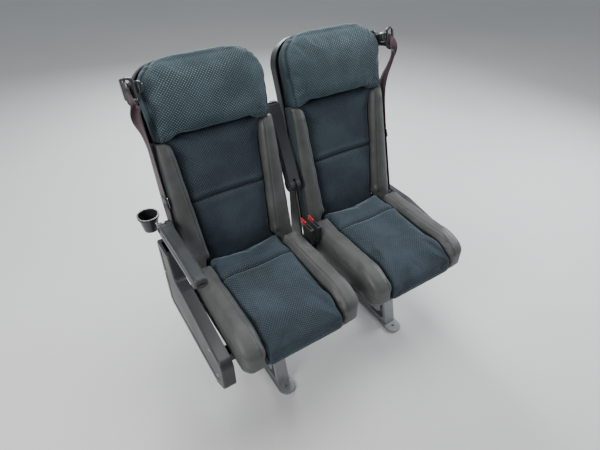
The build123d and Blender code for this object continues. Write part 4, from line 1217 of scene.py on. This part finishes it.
    def execute(self, context):
        centre = PLACES["aisle"]
        low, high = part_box("cushion_aisle")
        body = self.centre_cover(low, high, centre)
        bolster, line = self.side_cover(high.x + self.SIDE_GAP, *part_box("cushion_bolsters_aisle"))
        for name, x in PLACES.items():
            shift = Matrix.Translation((x - centre, 0, 0))
            piece = twin(body, f"cushion_cover_{name}", shift)
            finish_piece(piece, "base", "seat_fabric", f"cushion_{name}")
            lines = []
            for side, label in SIDES:
                mirror = (shift @ Matrix.Translation((centre, 0, 0)) @ Matrix.Diagonal((side, 1, 1, 1))
                          @ Matrix.Translation((-centre, 0, 0)))
                part = twin(bolster, f"cushion_bolster_{label}_{name}", mirror)
                finish_piece(part, "base", "leatherette", f"cushion_bolsters_{name}")
                lines.append([mirror @ p for p in line])
            stitched_lines(f"cushion_stitches_{name}", "base", lines, "grey_thread")
        bpy.data.objects.remove(body)
        bpy.data.objects.remove(bolster)
        return {"FINISHED"}


class SEAT_OT_arm_pads(bpy.types.Operator):
    """Build the soft pads on the armrests"""
    bl_idname = "seat.arm_pads"
    bl_label = "Armrest pads"

    SIDE_IN = 0.0015              # the skin lies inside its solid by this at the sides
    NOSE_IN = 0.0004              # at the nose
    TOP_IN = 0.0005               # and at the top
    BASE = 0.0015                 # its underside over the pivot's height
    # Sections: place on the pad's length, how far the top is drawn in, share of the half width
    REAR = ((0.0, 0.004, 1.0), (0.002, 0.0015, 1.0), (0.010, 0.0, 1.0), (0.02, 0.0, 1.0))
    MIDDLE = ((-0.10, 0.0, 0.98), (-0.20, 0.0, 0.98))
    NOSE = ((0.030, 0.0, 1.0), (0.012, 0.0008, 1.0), (0.004, 0.0030, 0.99), (0.001, 0.0065, 0.97),
            (0.0, 0.0085, 0.95), (0.0, 0.0100, 0.93))
    DROOP = 0.012                 # the nose bends down by shares of this, below and above
    DROOP_SHARES = (0.6, 0.3)
    DROOP_SPAN = (0.07, 0.0)
    RADII = (0.003, 0.003, 0.0095, 0.0095)
    SEAM = 0.006                  # height of the seam round the pad
    SEAM_WIDTH = 0.0012
    SEAM_DEEP = 0.0012

    def pad(self, name, low, high):
        """An armrest's pad, level with its pivot at the origin."""
        half, nose = high.x - self.SIDE_IN, low.y + self.NOSE_IN
        sections = [(high.y - ahead, pull, width) for ahead, pull, width in self.REAR]
        sections += [*self.MIDDLE, *((nose + behind, pull, width) for behind, pull, width in self.NOSE)]
        rings = []
        for y, pull, width in sections:
            droop = self.DROOP * fade(y, self.DROOP_SPAN, nose)
            below, above = (droop * share for share in self.DROOP_SHARES)
            w = half * width - pull / 2
            corner = (w, high.z - self.TOP_IN - pull - above)
            rings.append(ring(rectangle((-w, self.BASE - below), corner, self.RADII, 6, 0.01), 1, y))
        pad = stack(f"arm_pad_skin_{name}", rings)
        subdivide(pad, 2)
        paint(pad, "seam", lambda p, n: bell(p.z - self.SEAM, self.SEAM_WIDTH))
        shape_points(pad, lambda p, n: -n * self.SEAM_DEEP * bell(p.z - self.SEAM, self.SEAM_WIDTH))
        return smooth_shaded(pad)

    def execute(self, context):
        for name in ARM_PIVOTS:
            place = arm_place(name)
            pad = self.pad(name, *node_box(f"arm_pad_{name}", place))
            pad.data.transform(place)
            finish_piece(pad, f"arm_{name}", "arm_skin", f"arm_pad_{name}")
        return {"FINISHED"}


def ribbon(name, sections, half, thick, columns=9):
    """A thin closed strap with a cloth map, from (middle, width direction, curl direction, curl)."""
    points, spots, faces = [], [], []
    run = 0.0
    for index, (middle, across, bulge, curl) in enumerate(sections):
        if index:
            run += (middle - sections[index - 1][0]).length
        bend = curl * math.pi / 2
        for t in evenly(-1.0, 1.0, columns):
            shift = across * half * t
            if curl > 1e-3:
                radius = half / bend
                shift = across * radius * math.sin(t * bend) + bulge * radius * (1 - math.cos(t * bend))
            points.append(middle + shift)
            spots.append((t * half, run))
    for row in range(len(sections) - 1):
        for a in range(row * columns, (row + 1) * columns - 1):
            faces.append((a, a + 1, a + columns + 1, a + columns))
    obj = new_object(name, mesh_from(name, points, faces))
    lay_cloth(obj.data, spots)
    wall = obj.modifiers.new("thick", "SOLIDIFY")
    wall.thickness = thick
    wall.offset = 0.0
    settle(obj)
    return smooth_shaded(obj)


def blended(values, t):
    """Catmull-Rom through tuples of vectors or numbers at equal steps, t from 0 to the last index."""
    i = min(int(t), len(values) - 2)
    f = t - i
    near = [values[max(0, min(len(values) - 1, i + k))] for k in (-1, 0, 1, 2)]
    made = []
    for a, b, c, d in zip(*near):
        square, cube = 2 * a - 5 * b + 4 * c - d, 3 * b - a - 3 * c + d
        made.append(0.5 * (2 * b + (c - a) * f + square * f * f + cube * f ** 3))
    return made


class SEAT_OT_belts(bpy.types.Operator):
    """Build the shoulder guides, the parked straps and the red buttons of the buckles"""
    bl_idname = "seat.belts"
    bl_label = "Belts"

    HALF = 0.0235                 # half width of the webbing
    THICK = 0.0015
    # Route of the strap in the back's x, depth and height: middle, width direction, curl direction, curl
    ROUTE = (
        ((0.2276, 0.036, 0.680), (0, 0, 1), (1, 0, 0), 0.0),
        ((0.2276, 0.000, 0.680), (0, 0, 1), (1, 0, 0), 0.0),
        ((0.2280, -0.034, 0.678), (0.03, 0, 1), (1, 0, 0), 0.15),
        ((0.2290, -0.056, 0.672), (0.15, -0.05, 0.99), (0.99, -0.1, -0.15), 0.45),
        ((0.2300, -0.0680, 0.660), (0.45, -0.10, 0.88), (0.8, -0.5, -0.3), 0.9),
        ((0.2300, -0.0705, 0.641), (0.80, 0.20, 0.35), (0.3, -0.95, 0), 1.2),
        ((0.2285, -0.0620, 0.616), (0.72, 0.69, 0.0), (0.69, -0.72, 0), 1.05),
        ((0.2240, -0.0470, 0.588), (0.42, 0.91, 0.0), (0.91, -0.42, 0), 0.7),
        ((0.2180, -0.0310, 0.555), (0.15, 0.99, 0.0), (0.99, -0.15, 0), 0.35),
        ((0.2143, -0.0170, 0.510), (0.04, 1.0, 0.0), (1, 0, 0), 0.15),
        ((0.2130, -0.0090, 0.450), (0.0, 1.0, 0.0), (1, 0, 0), 0.05),
        ((0.2128, -0.0065, 0.340), (0.0, 1.0, 0.0), (1, 0, 0), 0.02),
        ((0.2128, -0.0065, 0.210), (0.0, 1.0, 0.0), (1, 0, 0), 0.0),
        ((0.2128, -0.0065, 0.062), (0.0, 1.0, 0.0), (1, 0, 0), 0.0),
    )
    BETWEEN = 6                   # sections from one point of the route to the next

    GUIDE_X = 0.230               # middle of the guide's loop
    GUIDE_Z = 0.680
    LOOP_BACK = 0.004             # its front behind the solid's
    LOOP_HALF = (0.0135, 0.0355)
    LOOP_RADII = (0.017, 0.009, 0.009, 0.017)
    RIM_IN = 0.0052               # half width of the rim on the inboard side
    RIM_OUT = 0.0032
    RIM_CHANGE = (0.010, -0.010)
    RIM_DEEP = 0.0060
    RIM_BOW = 0.0015
    RIM_SIDES = 12

    BOSS_BACK = 0.001
    BOSS_AWAY = 0.0212            # the half-round knob's flat from the loop's middle
    BOSS_UP = 0.008
    BOSS_SIZE = (0.0165, 0.0175)
    BOSS_FLAT_R = 0.002
    BOSS_ROUND = 0.8              # rounding of the other side, as a share of the width
    # Its sections: depth behind its front, and how far in
    BOSS_SECTIONS = ((0.022, 0.0), (0.006, 0.0), (0.0035, 0.0006), (0.0016, 0.0020), (0.0005, 0.0040),
                     (0.0, 0.0062))

    # The bridge's sections: depth behind the solid's front or in the back, half height, inner and outer x
    BRIDGE_FRONT = ((0.008, 0.028, 0.2175, 0.2222), (0.03, 0.025, 0.2192, 0.2230))
    BRIDGE_REAR = ((-0.01, 0.019, 0.2197, 0.2232), (0.018, 0.020, 0.2197, 0.2234),
                   (0.024, 0.020, 0.2197, 0.2234))
    BRIDGE_R = 0.0012
    # The exit cover's sections: depth, and how far in
    COVER_SECTIONS = ((0.0195, 0.0025), (0.021, 0.0), (0.036, 0.0), (0.044, 0.002), (0.0455, 0.005))
    COVER_HALF = 0.032            # its half height
    COVER_X = (0.2196, 0.2356)
    COVER_RADII = (0.001, 0.007, 0.007, 0.001)
    MOUTH_DEPTHS = (0.010, 0.041) # the room cut into it, open to the front
    MOUTH_HALF = 0.0255
    MOUTH_X = (0.2240, 0.2325)
    MOUTH_R = 0.002

    GRIP_ENDS = (0.312, 0.348)    # heights of the tongue's grip
    GRIP_HALVES = (0.030, 0.024)  # its half widths there
    GRIP_RADII = (0.007, 0.007, 0.009, 0.009)
    # Its sections: x, and how far in
    GRIP_SECTIONS = ((0.2096, 0.003), (0.2104, 0.0005), (0.2120, 0.0), (0.2146, 0.0), (0.2160, 0.0012),
                     (0.2166, 0.004))

    BUTTON_AHEAD = 0.024          # the red button's middle, ahead of the buckle's rear
    BUTTON_X = (0.0034, 0.0085)   # its sides, from the buckle's middle
    BUTTON_HALF = 0.017
    BUTTON_R = 0.0015
    # Its sections: height over the buckle's top, and how far in
    BUTTON_SECTIONS = ((-0.016, 0.001), (-0.004, 0.0), (0.0006, 0.0), (0.0016, 0.0015))

    def strap_sections(self):
        values = [(Vector(m), Vector(w).normalized(), Vector(b).normalized(), c) for m, w, b, c in self.ROUTE]
        sections = []
        for k in range((len(values) - 1) * self.BETWEEN + 1):
            middle, across, bulge, curl = blended(values, k / self.BETWEEN)
            across = across.normalized()
            bulge = (bulge - across * bulge.dot(across)).normalized()
            sections.append((middle, across, bulge, max(0.0, curl)))
        return sections

    def loop(self, front):
        """The guide's long loop: a broad bowed rim on the inboard side, a thin one outboard."""
        half_x, half_z = self.LOOP_HALF
        outline = rectangle((-half_x, -half_z), (half_x, half_z), self.LOOP_RADII, 8, 0.004)
        inward = [q - p for p, q in zip(outline, inset(outline, 1.0))]
        sides = self.RIM_SIDES
        points, faces = [], []
        for spot, normal in zip(outline, inward):
            inboard = fade(spot.x, self.RIM_CHANGE)
            rim = self.RIM_OUT + (self.RIM_IN - self.RIM_OUT) * inboard
            bow = self.RIM_BOW * inboard * (1 - (spot.y / half_z) ** 2)
            for k in range(sides):
                turn = 2 * math.pi * k / sides
                moved = spot + normal * rim * math.cos(turn)
                points.append((self.GUIDE_X + moved.x - bow, front + self.RIM_DEEP * (1 + math.sin(turn)),
                               self.GUIDE_Z + moved.y))
        for i in range(len(outline)):
            for k in range(sides):
                a, b = i * sides + k, i * sides + (k + 1) % sides
                faces.append((a, b, (b + sides) % len(points), (a + sides) % len(points)))
        return new_object("guide_loop", outward(mesh_from("guide_loop", points, faces)))

    def boss(self, front):
        """The half-round knob beside the loop, its flat side towards it."""
        flat, height = self.GUIDE_X - self.BOSS_AWAY, self.GUIDE_Z + self.BOSS_UP
        wide, half = self.BOSS_SIZE
        radii = (self.BOSS_ROUND * wide, self.BOSS_FLAT_R, self.BOSS_FLAT_R, self.BOSS_ROUND * wide)
        outline = rectangle((flat - wide, height - half), (flat, height + half), radii, 10, 0.004)
        rings = [ring(inset(outline, pull), 1, front + depth) for depth, pull in self.BOSS_SECTIONS]
        return stack("guide_boss", rings)

    def upright(self, depth, half, inner, outer, radii, *steps):
        """A section of the guide's mouldings, from its depth, half height and two sides."""
        outline = rectangle((inner, self.GUIDE_Z - half), (outer, self.GUIDE_Z + half), radii, *steps)
        return ring(outline, 1, depth)

    def bridge(self, front):
        """The flat bridge along the head pad."""
        sections = [(front + depth, *rest) for depth, *rest in self.BRIDGE_FRONT] + list(self.BRIDGE_REAR)
        rings = [self.upright(*section, [self.BRIDGE_R] * 4, 3, 1.0) for section in sections]
        return stack("guide_bridge", rings)

    def exit_cover(self):
        """The cover over the strap's way out of the shell, with its mouth cut in."""
        inner, outer = self.COVER_X
        rings = [self.upright(depth, self.COVER_HALF - pull, inner, outer - pull, self.COVER_RADII, 5, 0.008)
                 for depth, pull in self.COVER_SECTIONS]
        cover = stack("guide_cover", rings)
        mouth = (self.MOUTH_HALF, *self.MOUTH_X, [self.MOUTH_R] * 4, 3, 0.02)
        room = stack("guide_room", [self.upright(depth, *mouth) for depth in self.MOUTH_DEPTHS])
        cut = cover.modifiers.new("mouth", "BOOLEAN")
        cut.object = room
        cut.operation = "DIFFERENCE"
        settle(cover)
        bpy.data.objects.remove(room)
        return cover

    def guide(self, front):
        """The loop with its boss, bridge and exit cover, for the +X side."""
        parts = [self.loop(front + self.LOOP_BACK), self.boss(front + self.BOSS_BACK), self.bridge(front),
                 self.exit_cover()]
        return smooth_shaded(join("guide", parts), CRISP)

    def grip(self):
        """The tongue's moulded grip, parked on the strap."""
        low, high = self.GRIP_ENDS
        middle = self.ROUTE[-1][0][1]
        rings = []
        for x, pull in self.GRIP_SECTIONS:
            wide, slim = (half - pull for half in self.GRIP_HALVES)
            corners = [(middle - wide, low + pull), (middle + wide, low + pull), (middle + slim, high - pull),
                       (middle - slim, high - pull)]
            rings.append(ring(rounded(corners, self.GRIP_RADII, 5, 0.01), 0, x))
        return smooth_shaded(stack("tongue_grip", rings), CRISP)

    def buckle_button(self, name):
        """The red release button in the buckle's top, beside the slot."""
        low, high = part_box(f"buckle_{name}")
        x, y = (low.x + high.x) / 2, high.y - self.BUTTON_AHEAD
        rings = []
        for z, pull in self.BUTTON_SECTIONS:
            corner = (x + self.BUTTON_X[0] + 0.3 * pull, y - self.BUTTON_HALF + pull)
            across = (x + self.BUTTON_X[1] - 0.3 * pull, y + self.BUTTON_HALF - pull)
            rings.append(ring(rectangle(corner, across, [self.BUTTON_R] * 4, 4, 0.01), 2, high.z + z))
        button = smooth_shaded(stack(f"buckle_button_{name}", rings), CRISP)
        finish_piece(button, "base", "release_red", slot="buckle_plastic")

    def execute(self, context):
        low, _ = node_box("belt_guide_window", BACK["window"])
        strap = ribbon("strap", self.strap_sections(), self.HALF, self.THICK)
        guide = self.guide(low.y)
        grip = self.grip()
        pieces = ((strap, "belt_strap", "webbing", ["belt_webbing"]),
                  (guide, "shoulder_guide", "guide_plastic", ["belt_guide"]),
                  (grip, "tongue_grip", "buckle_plastic", []))
        for name, place in BACK.items():
            sided = place @ Matrix.Diagonal((OUTBOARD[name], 1, 1, 1))
            for obj, title, finish, nodes in pieces:
                replaced = [f"{node}_{name}" for node in nodes]
                finish_piece(twin(obj, f"{title}_{name}", sided), f"back_{name}", finish, *replaced)
            frame["nodes"][f"belt_tongue_{name}"].data.materials[0] = material("bright_steel")
            self.buckle_button(name)
        for obj in (strap, guide, grip):
            bpy.data.objects.remove(obj)
        return {"FINISHED"}


class SEAT_OT_fixings(bpy.types.Operator):
    """Add the screws and pivot caps"""
    bl_idname = "seat.fixings"
    bl_label = "Screws and caps"

    COVER_RADIUS = 0.0055
    FRONT_LOW = (0.05, 0.06)      # in from the side cover's front and lower edge
    REAR_LOW = (0.03, 0.03)       # in from its rear and lower edge
    REAR_HIGH = (0.03, 0.41)      # in from its rear edge, and height over the floor
    FRONT_HIGH = (0.09, 0.375)    # in from its front edge, and height over the floor
    SHELL_RADIUS = 0.0045
    POCKET_IN = 0.012             # from the magazine pocket's sides
    POCKET_UP = 0.014             # and over it
    CAP_RADIUS = 0.009

    def execute(self, context):
        for name, side in OUTBOARD.items():
            low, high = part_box(f"side_cover_{name}")
            x = (low.x if side < 0 else high.x) + side * RAY_START
            places = ((low.y + self.FRONT_LOW[0], low.z + self.FRONT_LOW[1]),
                      (high.y - self.REAR_LOW[0], low.z + self.REAR_LOW[1]),
                      (high.y - self.REAR_HIGH[0], self.REAR_HIGH[1]),
                      (low.y + self.FRONT_HIGH[0], self.FRONT_HIGH[1]))
            cover = frame["nodes"][f"side_cover_{name}"]
            spots = [(touch(cover, (x, y, z), (-side, 0, 0))[0], (side, 0, 0)) for y, z in places]
            screws(f"cover_screws_{name}", "base", spots, self.COVER_RADIUS)
            place = BACK[name]
            low, high = node_box(f"magazine_pocket_{name}", place)
            rearward = place.to_3x3() @ Vector((0, 1, 0))
            shell = frame["nodes"][f"back_shell_{name}"]
            starts = [place @ Vector((x, RAY_START, high.z + self.POCKET_UP))
                      for x in (low.x + self.POCKET_IN, high.x - self.POCKET_IN)]
            spots = [(touch(shell, start, -rearward)[0], rearward) for start in starts]
            screws(f"shell_screws_{name}", f"back_{name}", spots, self.SHELL_RADIUS)
        for name, pivot in ARM_PIVOTS.items():
            half = node_box(f"arm_core_{name}", arm_place(name))[1].x
            spots = [(pivot + Vector((side * half, 0, 0)), (side, 0, 0)) for side in (-1, 1)]
            screws(f"pivot_caps_{name}", f"arm_{name}", spots, self.CAP_RADIUS, "cover_plastic")
        return {"FINISHED"}


class SEAT_OT_stage(bpy.types.Operator):
    """Make the pale floor, the soft lights and the camera"""
    bl_idname = "seat.stage"
    bl_label = "Stage"

    FLOOR_HALF = 14
    FLOOR_TONES = ((0.60, 0.60, 0.59), (0.66, 0.66, 0.65))
    SKY = (0.80, 0.85, 0.90, 1)
    SKY_STRENGTH = 0.42
    CAMERA = (-0.718, -1.012, 1.499)
    AIM = (-0.055, 0.02, 0.53)
    LENS = 26.6                   # in millimetres, as the sensor's width is
    SENSOR = 36.0
    # Lights: name, place, aim, size, power, colour
    LIGHTS = (
        ("ceiling", (0.3, 0.4, 3.0), (0.0, 0.0, 0.5), 2.2, 56.0, (1.0, 0.99, 0.97)),
        ("rear_windows", (0.6, 2.6, 2.1), (0.0, 0.2, 0.8), 1.4, 90.0, (0.93, 0.97, 1.0)),
        ("aisle_side", (-2.6, -0.6, 1.9), (-0.2, 0.0, 0.6), 1.3, 58.0, (1.0, 0.98, 0.95)),
        ("window_side", (2.6, 0.0, 1.7), (0.2, 0.0, 0.6), 1.2, 60.0, (0.92, 0.96, 1.0)),
    )

    def aimed(self, name, data, spot, aim):
        """A lamp or camera at a spot, looking at its aim."""
        obj = new_object(name, data)
        obj.location = spot
        obj.rotation_euler = (Vector(aim) - Vector(spot)).to_track_quat("-Z", "Y").to_euler()
        return obj

    def execute(self, context):
        scene = context.scene
        far = self.FLOOR_HALF
        corners = [(-far, -far, 0), (far, -far, 0), (far, far, 0), (-far, far, 0)]
        floor = new_object("floor", mesh_from("floor", corners, [(0, 1, 2, 3)]))
        n = Nodes("pale_floor")
        floor.data.materials.append(n.done(n.mix(n.noise(n.place(), 1.2, 3.0), *self.FLOOR_TONES), 0.75))
        scene.world = bpy.data.worlds.new("studio")
        scene.world.use_nodes = True
        sky = scene.world.node_tree.nodes["Background"]
        sky.inputs["Color"].default_value = self.SKY
        sky.inputs["Strength"].default_value = self.SKY_STRENGTH
        for name, spot, aim, size, power, tint in self.LIGHTS:
            light = bpy.data.lights.new(name, "AREA")
            light.shape = "DISK"
            light.size = size
            light.energy = power
            light.color = tint
            self.aimed(name, light, spot, aim)
        lens = bpy.data.cameras.new("camera")
        lens.lens = self.LENS
        lens.sensor_width = self.SENSOR
        scene.camera = self.aimed("camera", lens, self.CAMERA, self.AIM)
        scene.view_settings.view_transform = "AgX"
        return {"FINISHED"}


class SEAT_PT_parts(bpy.types.Panel):
    bl_idname = "SEAT_PT_parts"
    bl_label = "Coach seat"
    bl_space_type = "VIEW_3D"
    bl_region_type = "UI"
    bl_category = "Coach seat"

    def draw(self, context):
        for group in (context.scene.seat_colours, context.scene.seat_sizes):
            for key in group.__annotations__:
                self.layout.prop(group, key)
        for operator in STEPS:
            self.layout.operator(operator.bl_idname)


STEPS = (SEAT_OT_finishes, SEAT_OT_head_pads, SEAT_OT_back_panels, SEAT_OT_back_bolsters, SEAT_OT_cushions,
         SEAT_OT_arm_pads, SEAT_OT_belts, SEAT_OT_fixings, SEAT_OT_stage)
CLASSES = (SeatColours, SeatSizes, *STEPS, SEAT_PT_parts)


def register():
    for item in CLASSES:
        bpy.utils.register_class(item)
    bpy.types.Scene.seat_colours = bpy.props.PointerProperty(type=SeatColours)
    bpy.types.Scene.seat_sizes = bpy.props.PointerProperty(type=SeatSizes)


def unregister():
    del bpy.types.Scene.seat_colours
    del bpy.types.Scene.seat_sizes
    for item in reversed(CLASSES):
        bpy.utils.unregister_class(item)


def main():
    register()
    for operator in STEPS:
        group, name = operator.bl_idname.split(".")
        getattr(getattr(bpy.ops, group), name)()


if __name__ == "__main__":
    main()
